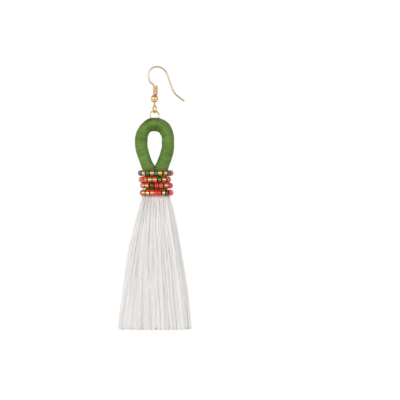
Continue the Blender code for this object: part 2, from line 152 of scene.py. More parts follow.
LEG_OFFSET = CORD_NECK_RADIUS + LINK_GAP
PINCH_SHARES = (0.45, 0.80)
NECK_SHARES = (0.84, 0.98)
HIDDEN_START = 1.2 * MM
NECK_LEAN = 0.22 * MM
NECK_RISE = 1.0 * MM
RINGS_PER_THREAD = 7
SLANT_TURNS = (0.35, 0.30)
SLANT_LENGTHS = (26 * MM, 9 * MM)
SLANT_TWIST = 260
LUMP_HEIGHT = 0.03 * MM
LUMP_SWAYS = (1.5 * MM, 2.5 * MM)
LUMP_LENGTHS = (7 * MM, 17 * MM)
CREASE_PLACE = 0.46 * MM
CREASE_WIDTH = 0.16 * MM
CREASE_DEPTH = 0.22 * MM
THREAD_REACH = math.radians(34)
GROOVE_REACH = 2.2 * RING_RADIUS
# Painted shade on the wound thread: darker inside the top bend of the loop, and along the loop's top where
# the ring goes in, also on the threads over the ring
FOLD_SHADE_REACH = 5.0 * MM
FOLD_SHADE_TONE = 3.2
TOP_SHADE_PLACE = -0.9 * MM
TOP_SHADE_REACH = 2.2 * MM
TOP_SHADE_TONE = 2.6

# Neck and its rows of beads: how much each row is drawn in and leans, in millimetres
BINDING_INNER = CORD_NECK_RADIUS + FIT_GAP
BINDING_SHORT = 0.55 * MM
BINDING_TINT = (1.5, 1.0, 0.3)
# Painted glow: the colour that light through the beads throws on the binding, how sharply it starts and ends
# at the rows, and how strong it is
BINDING_PAINTED_GLOW = (0.76, 0.29, 0.008)
BINDING_PAINTED_GLOW_EDGE = 0.4 * MM
BINDING_PAINTED_GLOW_SHARE = 0.8
BINDING_SIDES = 150
BINDING_OUTER = (NECK_BOX[1].y - NECK_BOX[0].y) / 2
BEAD_DIAMETER = 2.1 * MM
FIRST_ROW_RISE = 0.22
ROW_STEPS = (1.24, 1.12, 1.39)
ROW_HEIGHTS = [NECK_TOP + BEAD_DIAMETER * (FIRST_ROW_RISE - sum(ROW_STEPS[:row])) for row in range(4)]
NECK_ROWS = {
    "narrower": (0.05, 0.72, 0.55, 0.40),
    "across": (0.46, 0.15, 0.75, 0.82),
    "bead_size": (1.0, 1.03, 1.0, 1.10),
}
STRING_RADIUS = BINDING_OUTER + FIT_GAP + BEAD_DIAMETER / 2
STRING_THREAD_RADIUS = 0.2 * MM
STRING_START = 0.228
STEP_SHARE = 0.2
BEAD_ROWS = 16
BEAD_SIDES = 24
BEAD_SQUARENESS = (0.40, 0.80)
# How far from a lined bead's outward middle its painted highlight band fades into the glass beside it
LINING_EDGE = (0.04, 0.27)
# Painted shade on the clear beads' rims: the share of each colour left there
RIM_SHADE_TINT = (0.95, 0.15, 0.06)

# Fringe. Each sway of a strand is its size, in millimetres, and its number of waves down the fringe
FRINGE_HALF_WIDTH = 14.7 * MM
FRINGE_HALF_DEPTH = 6.5 * MM
NECK_HALF_WIDTH = (NECK_BOX[1].x - NECK_BOX[0].x) / 2
NECK_HALF_DEPTH = BINDING_OUTER
NECK_SQUEEZE = 0.86
NECK_YARN = 0.5
FRINGE_LEAN = 0.45 * MM
FRINGE_LENGTH = NECK_FOOT - FRINGE_FOOT
FRINGE_START = -1.6 * MM / FRINGE_LENGTH
CORE_SHARE = 0.93
CORE_SHORT = 0.8 * MM
CORE_RIDGES = 110
ENDS_START = 0.93
LOCKS = 32
LOCK_SWAY = 0.35
LOCK_DRAW = 0.07
LOCK_DRIFT = 1.2
LOCK_DEPTH = 0.30 * MM
LOCK_TOP_SHARE = 1.1
TRIM_UNEVEN = 0.30 * MM
TIP_SHARE = 0.0006
INNER_STRAND = {"rows": 7, "sides": 6, "plies": 0.0, "start": ENDS_START}
OUTER_STRAND = {"rows": 96, "sides": 8, "plies": 0.08, "start": FRINGE_START}
STRAND_SWAYS = ((0.08, 1.6), (0.02, 4.1), (0.08, 1.7))
SECTION_BLUR = (-0.04, -0.02, 0.0, 0.02, 0.04)
YARN_TWIST = 11.0 * MM
LOOSE_FIBRES = 260
LOOSE_RADIUS = 0.02 * MM

# Seeds of the random draws
SEEDS = {"cord": 11, "ring_threads": 12, "binding": 13, "beads": 14, "fringe": 15, "locks": 16}

# Stage
CAMERA_LENS = 180.0
CAMERA_DISTANCE = 0.8
AIM_ACROSS = 17.0 * MM
AIM_HEIGHT = -52.92 * MM
FLOOR_GAP = 0.06
FLOOR_RADIUS = 0.30
FLOOR_THICKNESS = 0.004

# Brightness of the surroundings along an axis, from one place to another: below, above, to the front,
# round the lens and from left to right
WORLD_RAMPS = (
    ("Z", -0.60, -0.15, 0.18, 1.0),
    ("Z", 0.25, 0.75, 1.0, 0.42),
    ("Y", 0.40, -0.80, 1.40, 1.50),
    ("Y", -0.98, -0.93, 0.06, 1.0),
    ("X", -0.80, 0.80, 1.06, 0.94),
)

# Of each thread: how its fibres are stretched, twice across it and then along it, how deep they are, how
# much its tone drifts, how much of that is the strand's tone mark (its own tone, with any painted shade
# marked on it), and the pace of the drift along each axis
THREADS = {
    "green": {
        "stretch": (0.9, 0.9, 14.0), "relief": 0.03 * MM,
        "amount": 1.5, "own_share": 0.28, "drift": (330.0, 330.0, 330.0),
    },
    "white": {
        "stretch": (11.0, 11.0, 0.35), "relief": 0.03 * MM,
        "amount": 1.2, "own_share": 0.85, "drift": (300.0, 300.0, 35.0),
    },
    "string": {
        "stretch": (11.0, 11.0, 0.8), "relief": 0.02 * MM,
        "amount": 0.9, "own_share": 0.65, "drift": (330.0, 330.0, 330.0),
    },
}
THREAD_TONES = 1.35
THREAD_ROUGHNESS = (0.62, 0.86)
GREEN_LIGHT = (1.12, 1.12, 1.12)
GREEN_SHADE = (0.60, 0.62, 0.36)
WHITE_SHADE = (0.77, 0.765, 0.76)
STRING_COLOUR = (0.20, 0.10, 0.03)
STRING_SHADE = (0.10, 0.05, 0.02)

# Metal and glass: the pace of their drift, and the scale and depth of their handling marks
METAL_DRIFT = 420.0
METAL_MARKS = {"scale": 2600.0, "depth": 0.004 * MM}
GLASS_DRIFT = 700.0
GLASS_MARKS = {"scale": 1500.0, "depth": 0.012 * MM}
# Share of a bead's colour against its painted shade colour, from its middle to its rim
GLASS_LIT_SHARES = (1.05, -0.05)

# What the mesh calls a mark of one value, a vector and a colour
MARK_KINDS = {1: ("FLOAT", "value"), 3: ("FLOAT_VECTOR", "vector"), 4: ("FLOAT_COLOR", "color")}

# How far down the fringe, and how far it has spread there from the neck's size to its full size
FRINGE_SECTIONS = {
    "down": (0.00, 0.05, 0.12, 0.21, 0.30, 0.39, 0.48, 0.60, 0.72, 0.88, 1.00),
    "left": (0.05, 0.16, 0.24, 0.35, 0.47, 0.57, 0.65, 0.735, 0.84, 0.95, 1.01),
    "right": (0.06, 0.18, 0.28, 0.41, 0.49, 0.59, 0.66, 0.79, 0.88, 0.97, 1.04),
    "deep": (0.02, 0.14, 0.28, 0.42, 0.54, 0.64, 0.73, 0.82, 0.90, 0.97, 1.00),
}

# Glass colours, in the order of their share among the beads that the front does not show. For lined
# beads this is the colour of the painted highlight band along their middle
BEAD_COLOURS = {
    "gold": (1.00, 0.95, 0.52),
    "coral": (1.00, 0.06, 0.006),
    "red": (0.78, 0.015, 0.010),
    "teal_green": (0.035, 0.34, 0.10),
    "rose": (0.84, 0.11, 0.11),
    "salmon": (1.00, 0.27, 0.11),
    "magenta": (0.90, 0.006, 0.06),
    "olive": (0.13, 0.14, 0.01),
    "blue_teal": (0.012, 0.28, 0.25),
    "clear": (0.80, 0.62, 0.48),
    "navy": (0.02, 0.07, 0.14),
    "amber": (1.00, 0.66, 0.28),
    "honey": (1.00, 0.80, 0.42),
}
BACK_SHARES = (0.14, 0.14, 0.10, 0.13, 0.07, 0.06, 0.06, 0.04, 0.04, 0.02, 0.02, 0.04, 0.14)

# Lined beads, with a real lining whose brightness along the outward middle is a painted highlight band, and
# the colour of their glass beside it
LINED_BEADS = {
    "gold": (0.34, 0.12, 0.001),
    "amber": (0.55, 0.07, 0.001),
    "honey": (0.42, 0.08, 0.001),
}

# Beads along the front of each row, left to right
FRONT_ROWS = (
    (
        "teal_green", "teal_green", "gold", "teal_green", "gold",
        "teal_green", "gold", "gold", "blue_teal", "rose",
    ),
    ("salmon", "salmon", "salmon", "honey", "amber", "teal_green", "honey", "salmon", "coral"),
    ("clear", "honey", "honey", "olive", "magenta", "rose", "honey", "magenta", "rose"),
    ("rose", "honey", "honey", "amber", "coral", "magenta", "gold", "navy", "coral", "salmon"),
)

# Of each row, the place in its chart of the first bead that has a known place, and how far across that one
# and those after it are, in millimetres
FRONT_PLACES = (
    (2, (-3.90, -2.61, -0.94, 0.76, 2.39, 4.12, 5.20)),
    (2, (-3.35, -1.72, 0.15, 2.05, 3.55, 4.95)),
    (1, (-3.75, -2.62, -0.98, 0.90, 2.71, 4.40)),
    (1, (-3.75, -2.40, -0.85, 0.62, 2.10, 3.50, 4.55)),
)


# Settings that a user would change

class HookSettings(bpy.types.PropertyGroup):
    wire_radius: bpy.props.FloatProperty(
        name="Wire radius", description="Radius of the hook's wire",
        default=WIRE_RADIUS, unit="LENGTH", precision=5,
    )
    coil_wire_radius: bpy.props.FloatProperty(
        name="Spring wire radius", description="Radius of the wire that the spring is wound from",
        default=0.15 * MM, unit="LENGTH", precision=5,
    )
    coil_turns: bpy.props.FloatProperty(
        name="Spring turns", description="Turns of the close-wound spring",
        default=11.6,
    )
    gold: bpy.props.FloatVectorProperty(
        name="Gold", description="Colour of the hook, the spring and the ball",
        default=(0.83, 0.585, 0.315), size=3, min=0.0, max=1.0, subtype="COLOR",
    )


class RingSettings(bpy.types.PropertyGroup):
    radius: bpy.props.FloatProperty(
        name="Radius", description="Radius of the jump ring, to the middle of its wire",
        default=RING_RADIUS, unit="LENGTH", precision=5,
    )
    wire_radius: bpy.props.FloatProperty(
        name="Wire radius", description="Radius of the jump ring's wire",
        default=RING_WIRE_RADIUS, unit="LENGTH", precision=5,
    )
    cut_angle: bpy.props.FloatProperty(
        name="Cut angle", description="Where round the ring its cut is, from the right",
        default=math.radians(48), subtype="ANGLE",
    )
    pale_gold: bpy.props.FloatVectorProperty(
        name="Pale gold", description="Colour of the jump ring",
        default=(0.62, 0.555, 0.295), size=3, min=0.0, max=1.0, subtype="COLOR",
    )


class CordSettings(bpy.types.PropertyGroup):
    thread_pitch: bpy.props.FloatProperty(
        name="Thread pitch", description="Distance from one turn of the wrapped thread to the next",
        default=0.35 * MM, unit="LENGTH", precision=5,
    )
    thread_relief: bpy.props.FloatProperty(
        name="Thread relief", description="How deep the grooves between turns of the thread are",
        default=0.055 * MM, unit="LENGTH", precision=5,
    )
    green: bpy.props.FloatVectorProperty(
        name="Green", description="Colour of the wrapped thread",
        default=(0.129, 0.224, 0.056), size=3, min=0.0, max=1.0, subtype="COLOR",
    )


class BeadSettings(bpy.types.PropertyGroup):
    diameter: bpy.props.FloatProperty(
        name="Diameter", description="Outer diameter of a glass bead",
        default=2.38 * MM, unit="LENGTH", precision=5,
    )
    pitch: bpy.props.FloatProperty(
        name="Pitch", description="Distance from one bead to the next along the string",
        default=1.675 * MM, unit="LENGTH", precision=5,
    )
    bore: bpy.props.FloatProperty(
        name="Bore", description="Diameter of the hole through a bead",
        default=0.7 * MM, unit="LENGTH", precision=5,
    )


class FringeSettings(bpy.types.PropertyGroup):
    outer_strands: bpy.props.IntProperty(
        name="Outer strands", description="Plied strands of yarn that the outside shows",
        default=170,
    )
    inner_strands: bpy.props.IntProperty(
        name="Inner strands",
        description="Ends of yarn that the foot of the fringe shows inside the outer strands",
        default=520,
    )
    yarn_radius: bpy.props.FloatProperty(
        name="Yarn radius", description="Radius of a free strand of yarn",
        default=0.40 * MM, unit="LENGTH", precision=5,
    )
    white: bpy.props.FloatVectorProperty(
        name="White", description="Colour of the yarn",
        default=(0.80, 0.782, 0.766), size=3, min=0.0, max=1.0, subtype="COLOR",
    )


class StageSettings(bpy.types.PropertyGroup):
    ambient: bpy.props.FloatProperty(
        name="Ambient", description="Strength of the pale surroundings",
        default=0.72,
    )
    key_power: bpy.props.FloatProperty(
        name="Key power", description="Power of the large soft light, in watts",
        default=1.4,
    )


class EarringSettings(bpy.types.PropertyGroup):
    hook: bpy.props.PointerProperty(name="Hook", description="Hook, spring and ball", type=HookSettings)
    ring: bpy.props.PointerProperty(name="Ring", description="Jump ring", type=RingSettings)
    cord: bpy.props.PointerProperty(name="Cord", description="Wrapped cord loop", type=CordSettings)
    beads: bpy.props.PointerProperty(name="Beads", description="String of beads", type=BeadSettings)
    fringe: bpy.props.PointerProperty(name="Fringe", description="Yarn fringe", type=FringeSettings)
    stage: bpy.props.PointerProperty(name="Stage", description="Light and floor", type=StageSettings)


# Arithmetic that the pieces share

def unit(vectors):
    """Each vector divided by its own length."""
    return vectors / np.linalg.norm(vectors, axis=-1, keepdims=True)


def smooth_step(share):
    """3 s^2 - 2 s^3, with s held between 0 and 1."""
    share = np.clip(share, 0.0, 1.0)
    return share * share * (3 - 2 * share)


def ramp(value, start, end):
    return smooth_step((value - start) / (end - start))


def waves(rng, value, longest, count=5):
    """A smooth random curve: sines of shrinking wavelength and random phase, about -1 to 1."""
    total = np.zeros_like(value, dtype=float)
    for octave in range(count):
        length = longest / (1.0 + 0.83 * octave)
        total += np.sin(2 * math.pi * value / length + rng.uniform(0, 2 * math.pi)) / (1 + 0.5 * octave)
    return total / 2.2


def lengths_along(path):
    steps = np.linalg.norm(np.diff(path, axis=0), axis=1)
    return np.concatenate(([0.0], np.cumsum(steps)))


def resample_with(path, values, places):
    """Values that go with a path's points, at given distances along it."""
    along = lengths_along(path)
    return np.stack([np.interp(places, along, column) for column in values.T], axis=1)


def resample(path, places):
    """Points of a path at given distances along it."""
    return resample_with(path, path, places)


def level_ray(angle):
    """The level direction at an angle from the right: (cos a, sin a, 0)."""
    return np.stack((np.cos(angle), np.sin(angle), np.zeros_like(angle)), axis=-1)


def loop_angles(sides):
    return 2 * math.pi * np.arange(sides) / sides


def follow_bends(start, heading, bends, step=math.radians(0.5)):
    """A flat wire: each bend is a straight run, then an arc. Heading 0 is up, and + turns to +across."""
    place = np.array(start, dtype=float)
    parts = [place[None]]
    for run, radius, turn in bends:
        if run > 0:
            place = place + run * np.array((math.sin(heading), math.cos(heading)))
            parts.append(place[None])
        side = math.copysign(math.pi / 2, turn)
        centre = place + radius * np.array((math.sin(heading + side), math.cos(heading + side)))
        count = max(2, round(abs(turn) / step))
        angle = heading + turn * np.arange(1, count + 1) / count + side
        parts.append(centre - radius * np.stack((np.sin(angle), np.cos(angle)), axis=1))
        place = parts[-1][-1]
        heading += turn
    return np.concatenate(parts), np.array((math.sin(heading), math.cos(heading)))


def stadium(turn, half_straight, radius):
    """Middle line and outward directions of a stadium, at shares of its length from the back, leftwards."""
    arc = math.pi * radius
    along = np.mod(turn, 1.0) * (4 * half_straight + 2 * arc)
    first = np.clip((along - half_straight) / arc, 0, 1)
    second = np.clip((along - 3 * half_straight - arc) / arc, 0, 1)
    angle = math.pi * (0.5 + first + second)
    across = np.clip(along - half_straight - arc, 0, 2 * half_straight) - np.clip(along, 0, half_straight)
    across = across - np.clip(along - 3 * half_straight - 2 * arc, 0, half_straight)
    return across[..., None] * ACROSS, level_ray(angle)


def sweep(path, side, radius, sides):
    """Rings carried along a path: path + radius (cos a * side + sin a * (forward x side))."""
    forward = unit(np.gradient(path, axis=-2))
    side = unit(side - (side * forward).sum(-1, keepdims=True) * forward)
    across = np.cross(forward, side)
    angle = loop_angles(sides)
    turn = np.cos(angle)[:, None] * side[..., None, :] + np.sin(angle)[:, None] * across[..., None, :]
    radius = radius[..., None] if radius.ndim < turn.ndim - 1 else radius
    return path[..., None, :] + radius[..., None] * turn


def rounded_end(length, radius, steps=6):
    """Distances along a wire's last radius, and the radii there of its half-round end."""
    angle = np.linspace(0, math.pi / 2, steps + 1)[1:]
    return length - radius + radius * np.sin(angle), np.maximum(radius * np.cos(angle), 0.002 * MM)


# Meshes

def tube_faces(tubes, rows, sides, looped):
    """Quads between neighbouring rings of each tube, and a fan of triangles to a pole at each open end."""
    base = np.arange(tubes)[:, None, None] * rows * sides
    row = np.arange(rows if looped else rows - 1)[None, :, None]
    side = np.arange(sides)[None, None, :]
    following = (side + 1) % sides
    here = base + row * sides
    above = base + (row + 1) % rows * sides
    quads = np.stack([here + side, here + following, above + following, above + side], axis=-1)
    quads = quads.reshape(-1, 4)
    if looped:
        return quads, np.empty((0, 3), int)
    side, following, first = side[0], following[0], base[:, :, 0]
    last = first + (rows - 1) * sides
    pole = tubes * rows * sides + 2 * np.arange(tubes)[:, None] + 0 * side
    start = np.stack([pole, first + following, first + side], axis=-1)
    end = np.stack([pole + 1, last + side, last + following], axis=-1)
    return quads, np.concatenate([start, end]).reshape(-1, 3)


def with_poles(rings):
    """The points of every ring, then the middle of each tube's first and last ring."""
    wide = rings.shape[-1]
    ends = np.stack([rings[:, 0].mean(1), rings[:, -1].mean(1)], axis=1)
    return np.concatenate([rings.reshape(-1, wide), ends.reshape(-1, wide)])


def is_inside_out(points, quads):
    """True if the quads close a negative volume round the points' middle."""
    corners = (points - points.mean(0))[quads]
    fans = np.cross(corners[:, 1], corners[:, 2]) + np.cross(corners[:, 2], corners[:, 3])
    return (corners[:, 0] * fans).sum() < 0


def add_surface(name, rings, material, marks=None, looped=False):
    """A mesh of tubes from points (tubes, rows, sides, 3), with marks (tubes, rows, sides, n) on them."""
    tubes, rows, sides = rings.shape[:3]
    quads, fans = tube_faces(tubes, rows, sides, looped)
    if is_inside_out(rings[0].reshape(-1, 3), quads[: len(quads) // tubes]):
        quads, fans = quads[:, ::-1], fans[:, ::-1]
    points = rings.reshape(-1, 3) if looped else with_poles(rings)
    sizes = np.concatenate([np.full(len(quads), 4), np.full(len(fans), 3)])
    corners = np.concatenate([quads.ravel(), fans.ravel()])
    mesh = bpy.data.meshes.new(name)
    mesh.vertices.add(len(points))
    mesh.vertices.foreach_set("co", points.astype(np.float32).ravel())
    mesh.loops.add(len(corners))
    mesh.loops.foreach_set("vertex_index", corners.astype(np.int32))
    mesh.polygons.add(len(sizes))
    mesh.polygons.foreach_set("loop_start", (np.cumsum(sizes) - sizes).astype(np.int32))
    mesh.update(calc_edges=True)
    mesh.shade_smooth()
    for key, values in (marks or {}).items():
        spread = np.broadcast_to(values, (tubes, rows, sides, values.shape[-1]))
        spread = spread.reshape(-1, values.shape[-1]) if looped else with_poles(spread)
        kind, field = MARK_KINDS[values.shape[-1]]
        mark = mesh.attributes.new(key, kind, "POINT")
        mark.data.foreach_set(field, spread.astype(np.float32).ravel())
    mesh.materials.append(material)
    obj = bpy.data.objects.new(name, mesh)
    bpy.context.scene.collection.objects.link(obj)
    return obj


def keep(obj, body, slot, *nodes):
    """The piece rides on its body and stands for the nodes that it replaces, which it hides; slot is not
    used.
    """
    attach(obj, body)
    if nodes:
        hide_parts(*nodes)


def grain_marks(angle, radius, along):
    """Where a point lies on its thread, in millimetres: across, across, along."""
    parts = np.broadcast_arrays(radius * np.cos(angle), radius * np.sin(angle), along)
    return np.stack(parts, axis=-1) / MM


# Materials

def add_node(tree, kind, inputs=None, **settings):
    """A node with its settings, whose inputs are values or other nodes' outputs."""
    node = tree.nodes.new(kind)
    for key, value in settings.items():
        setattr(node, key, value)
    for key, value in (inputs or {}).items():
        if isinstance(value, bpy.types.NodeSocket):
            tree.links.new(value, node.inputs[key])
        else:
            node.inputs[key].default_value = value
    return node


def math_node(tree, operation, first, second, clamp=False):
    inputs = {0: first, 1: second}
    return add_node(tree, "ShaderNodeMath", inputs, operation=operation, use_clamp=clamp).outputs[0]


def scaled(tree, place, scale):
    return add_node(tree, "ShaderNodeVectorMath", {0: place, 1: scale}, operation="MULTIPLY").outputs[0]


def noise(tree, place, scale, detail):
    inputs = {"Vector": place, "Scale": scale, "Detail": detail}
    return add_node(tree, "ShaderNodeTexNoise", inputs).outputs["Fac"]


def map_range(tree, value, start, end, low, high):
    ends = {0: value, 1: start, 2: end, 3: low, 4: high}
    return add_node(tree, "ShaderNodeMapRange", ends).outputs[0]


def mix_colours(tree, share, first, second):
    inputs = {0: share, 6: first, 7: second}
    return add_node(tree, "ShaderNodeMix", inputs, data_type="RGBA").outputs[2]


def object_place(tree):
    return add_node(tree, "ShaderNodeTexCoord").outputs["Object"]


def attribute(tree, key, output):
    return add_node(tree, "ShaderNodeAttribute", attribute_name=key).outputs[output]


def new_group(name, inputs, outputs):
    """A node group with its named sockets; returns its tree, its inputs and its output node."""
    tree = bpy.data.node_groups.new(name, "ShaderNodeTree")
    for direction, sockets in (("INPUT", inputs), ("OUTPUT", outputs)):
        for key, kind in sockets.items():
            tree.interface.new_socket(key, in_out=direction, socket_type="NodeSocket" + kind)
    return tree, tree.nodes.new("NodeGroupInput").outputs, tree.nodes.new("NodeGroupOutput").inputs


def fibre_grain():
    """Fine fibres: noise stretched along the thread for their height, and a longer one for their tone."""
    name = "fibre_grain"
    if name in bpy.data.node_groups:
        return bpy.data.node_groups[name]
    tree, given, result = new_group(
        name, {"Grain": "Vector", "Stretch": "Vector"}, {"Height": "Float", "Tone": "Float"}
    )
    place = scaled(tree, given["Grain"], given["Stretch"])
    tree.links.new(noise(tree, place, 1.0, 3.0), result["Height"])
    tree.links.new(noise(tree, place, 0.31, 1.0), result["Tone"])
    return tree


def tone_drift():
    """A colour made lighter and darker: by a given tone, each strand's own with any painted shade and
    highlight marked on it, and by slow noise.
    """
    name = "tone_drift"
    if name in bpy.data.node_groups:
        return bpy.data.node_groups[name]
    tree, given, result = new_group(
        name,
        {"Colour": "Color", "Shade": "Color", "Tone": "Float", "Scale": "Vector", "Amount": "Float"},
        {"Colour": "Color"},
    )
    slow = noise(tree, scaled(tree, object_place(tree), given["Scale"]), 1.0, 2.0)
    both = math_node(tree, "ADD", slow, given["Tone"])
    centred = math_node(tree, "SUBTRACT", both, 1.0)
    wide = math_node(tree, "MULTIPLY", centred, given["Amount"])
    share = math_node(tree, "ADD", wide, 0.5, clamp=True)
    tree.links.new(mix_colours(tree, share, given["Shade"], given["Colour"]), result["Colour"])
    return tree


def fine_marks():
    """Faint handling marks on metal and glass: a roughness between two values, and a small height."""
    name = "fine_marks"
    if name in bpy.data.node_groups:
        return bpy.data.node_groups[name]
    tree, given, result = new_group(
        name,
        {"Scale": "Float", "Smooth": "Float", "Worn": "Float"},
        {"Roughness": "Float", "Height": "Float"},
    )
    marks = noise(tree, object_place(tree), given["Scale"], 4.0)
    rough = map_range(tree, marks, 0.35, 0.7, given["Smooth"], given["Worn"])
    tree.links.new(rough, result["Roughness"])
    tree.links.new(marks, result["Height"])
    return tree


def use_group(tree, group, inputs):
    return add_node(tree, "ShaderNodeGroup", inputs, node_tree=group).outputs


def use_marks(tree, shader, colour, look, smooth, worn):
    """The shader's colour, and handling marks at a scale and a depth, from smooth to worn."""
    marks = use_group(tree, fine_marks(), {"Scale": look["scale"], "Smooth": smooth, "Worn": worn})
    tree.links.new(colour, shader.inputs["Base Color"])
    tree.links.new(marks["Roughness"], shader.inputs["Roughness"])
    use_bump(tree, shader, marks["Height"], look["depth"])


def use_bump(tree, shader, height, distance):
    bump = add_node(tree, "ShaderNodeBump", {"Height": height, "Distance": distance, "Strength": 1.0})
    tree.links.new(bump.outputs["Normal"], shader.inputs["Normal"])


def new_material(name, constants):
    """A material whose Principled shader holds the given constants; returns it, its tree and its shader."""
    material = bpy.data.materials.new(name)
    material.use_nodes = True
    shader = material.node_tree.nodes["Principled BSDF"]
    for key, value in constants.items():
        shader.inputs[key].default_value = value
    return material, material.node_tree, shader


def opaque(colour):
    return (*(min(1.0, part) for part in colour), 1.0)


def tinted(colour, tint):
    return [part * factor for part, factor in zip(colour, tint)]


def metal_material(name, colour, shade_tint, smooth, worn, warmer=None):
    """Polished plate: a tint that drifts between two golds, faint marks, and a warmer gold where marked."""
    if name in bpy.data.materials:
        return bpy.data.materials[name]
    material, tree, shader = new_material(name, {"Metallic": 1.0})
    drift = {"Tone": 0.6, "Scale": (METAL_DRIFT,) * 3, "Amount": 1.6}
    drift.update({"Colour": opaque(colour), "Shade": opaque(tinted(colour, shade_tint))})
    gold = use_group(tree, tone_drift(), drift)["Colour"]
    if warmer:
        gold = mix_colours(tree, attribute(tree, "warm", "Fac"), gold, opaque(warmer))
    use_marks(tree, shader, gold, METAL_MARKS, smooth, worn)
    return material


def thread_material(name, colour, shade, look, constants, glow=None):
    """Spun fibre: its own tone on each thread with any painted shade marked there, fibres along it, and a
    painted glow where light through the beads tints it.
    """
    if name in bpy.data.materials:
        return bpy.data.materials[name]
    material, tree, shader = new_material(name, constants)
    fibres = {"Grain": attribute(tree, "grain", "Vector"), "Stretch": look["stretch"]}
    grain = use_group(tree, fibre_grain(), fibres)
    own = math_node(tree, "MULTIPLY", attribute(tree, "tone", "Fac"), look["own_share"])
    fibre = math_node(tree, "MULTIPLY", grain["Tone"], THREAD_TONES - look["own_share"])
    drift = {"Tone": math_node(tree, "ADD", own, fibre), "Scale": look["drift"], "Amount": look["amount"]}
    drift.update({"Colour": opaque(colour), "Shade": opaque(shade)})
    shown = use_group(tree, tone_drift(), drift)["Colour"]
    if glow:
        shown = mix_colours(tree, attribute(tree, "glow", "Fac"), shown, opaque(glow))
    tree.links.new(shown, shader.inputs["Base Color"])
    rough = map_range(tree, grain["Height"], 0.3, 0.7, *THREAD_ROUGHNESS)
    tree.links.new(rough, shader.inputs["Roughness"])
    use_bump(tree, shader, grain["Height"], look["relief"])
    return material


def green_thread(settings, name="wrapped_green", tint=(1.0, 1.0, 1.0), glow=None):
    shade = tinted(tinted(settings.green, tint), GREEN_SHADE)
    colour = tinted(tinted(settings.green, GREEN_LIGHT), tint)
    return thread_material(name, colour, shade, THREADS["green"], {"Specular IOR Level": 0.05}, glow)


def white_yarn(settings):
    shade = tinted(settings.white, WHITE_SHADE)
    constants = {"Sheen Weight": 0.05, "Sheen Roughness": 0.5, "Specular IOR Level": 0.15}
    return thread_material("plied_white", settings.white, shade, THREADS["white"], constants)


def string_thread():
    return thread_material("string_thread", STRING_COLOUR, STRING_SHADE, THREADS["string"], {})


def bead_material(name, constants, smooth, worn, rim_range, lined=False):
    """Bead glass: its colour from the bead, with painted shade towards the rim of clear beads, and a painted
    highlight band along the middle of lined ones.
    """
    if name in bpy.data.materials:
        return bpy.data.materials[name]
    material, tree, shader = new_material(name, constants)
    if lined:
        rim = attribute(tree, "beside_lining", "Fac")
    else:
        rim = add_node(tree, "ShaderNodeLayerWeight", {"Blend": 0.5}).outputs["Facing"]
    # Painted shade and highlight: the share of the bead's colour falls towards the rim of clear beads, and
    # away from the band of lined ones
    depth = map_range(tree, rim, *rim_range, *GLASS_LIT_SHARES)
    drift = {"Tone": depth, "Scale": (GLASS_DRIFT,) * 3, "Amount": 1.0}
    drift["Colour"] = attribute(tree, "glass", "Color")
    drift["Shade"] = attribute(tree, "glass_shade", "Color")
    tint = use_group(tree, tone_drift(), drift)
    use_marks(tree, shader, tint["Colour"], GLASS_MARKS, smooth, worn)
    return material


# Metal pieces

def gold_plate(settings, name="gold_plate", smooth=0.28, worn=0.42):
    return metal_material(name, settings.gold, GOLD_SHADE, smooth, worn)


def wire_gold(settings):
    colour = tinted(settings.gold, WIRE_TINT)
    return metal_material("worn_gold", colour, GOLD_SHADE, 0.28, 0.42, tinted(settings.gold, EYE_TINT))


def pale_plate(settings):
    return metal_material("pale_gold_plate", settings.pale_gold, PALE_GOLD_SHADE, 0.26, 0.38)


def place_hook():
    """The hook's route, rising from the shaft, so placed that its arch is level with the origin."""
    bends = (
        (0.0, SHOULDER_RADIUS, -SHOULDER_TURN),
        (SHOULDER_RUN, ARCH_FOOT_RADIUS, ARCH_FOOT_TURN),
        (ARCH_RISE, ARCH_BACK_RADIUS, ARCH_BACK_TURN),
        (0.0, ARCH_FRONT_RADIUS, ARCH_FRONT_TURN),
        (HOOK_LEG, TIP_RADIUS, -TIP_TURN),
    )
    route, heading = follow_bends((0, 0), 0.0, bends)
    route = np.concatenate([route, route[-1:] + heading * TIP_RUN])
    return route + (HANG_LINE[0] - SHAFT_LEAN, -route[:, 1].max())


def place_eye():
    """The eye's route in its own plane, from its closed end round to its neck, its lowest point at zero."""
    reach = EYE_RADIUS / math.tan(EYE_LEAN)
    end_run = reach - (2 * WIRE_RADIUS + LINK_GAP) / math.sin(2 * EYE_LEAN)
    bends = ((0.0, EYE_NECK_RADIUS, EYE_LEAN), (EYE_SIDE, EYE_RADIUS, -(math.pi + 2 * EYE_LEAN)))
    route, heading = follow_bends((0, 0), math.pi, bends)
    route = np.concatenate([route, route[-1:] + heading * end_run])
    return (route - route[route[:, 1].argmin()])[::-1]


def wire_route():
    """Points of the whole wire, and the sideways direction that goes with each."""
    eye = place_eye()
    hook = place_hook()
    lower = EYE_FOOT + eye[:, :1] * EYE_AXIS + eye[:, 1:] * UP
    upper = hook[:, :1] * ACROSS + (hook[:, 1:] + WIRE_RADIUS) * UP
    path = np.concatenate([lower, upper])
    along = lengths_along(path)
    shaft = ramp(along, along[len(lower) - 1], along[len(lower)])
    angle = math.atan2(EYE_AXIS[1], EYE_AXIS[0]) * (1 - shaft)
    side = np.stack((-np.sin(angle), np.cos(angle), np.zeros_like(angle)), axis=1)
    return path, side, along[-1]


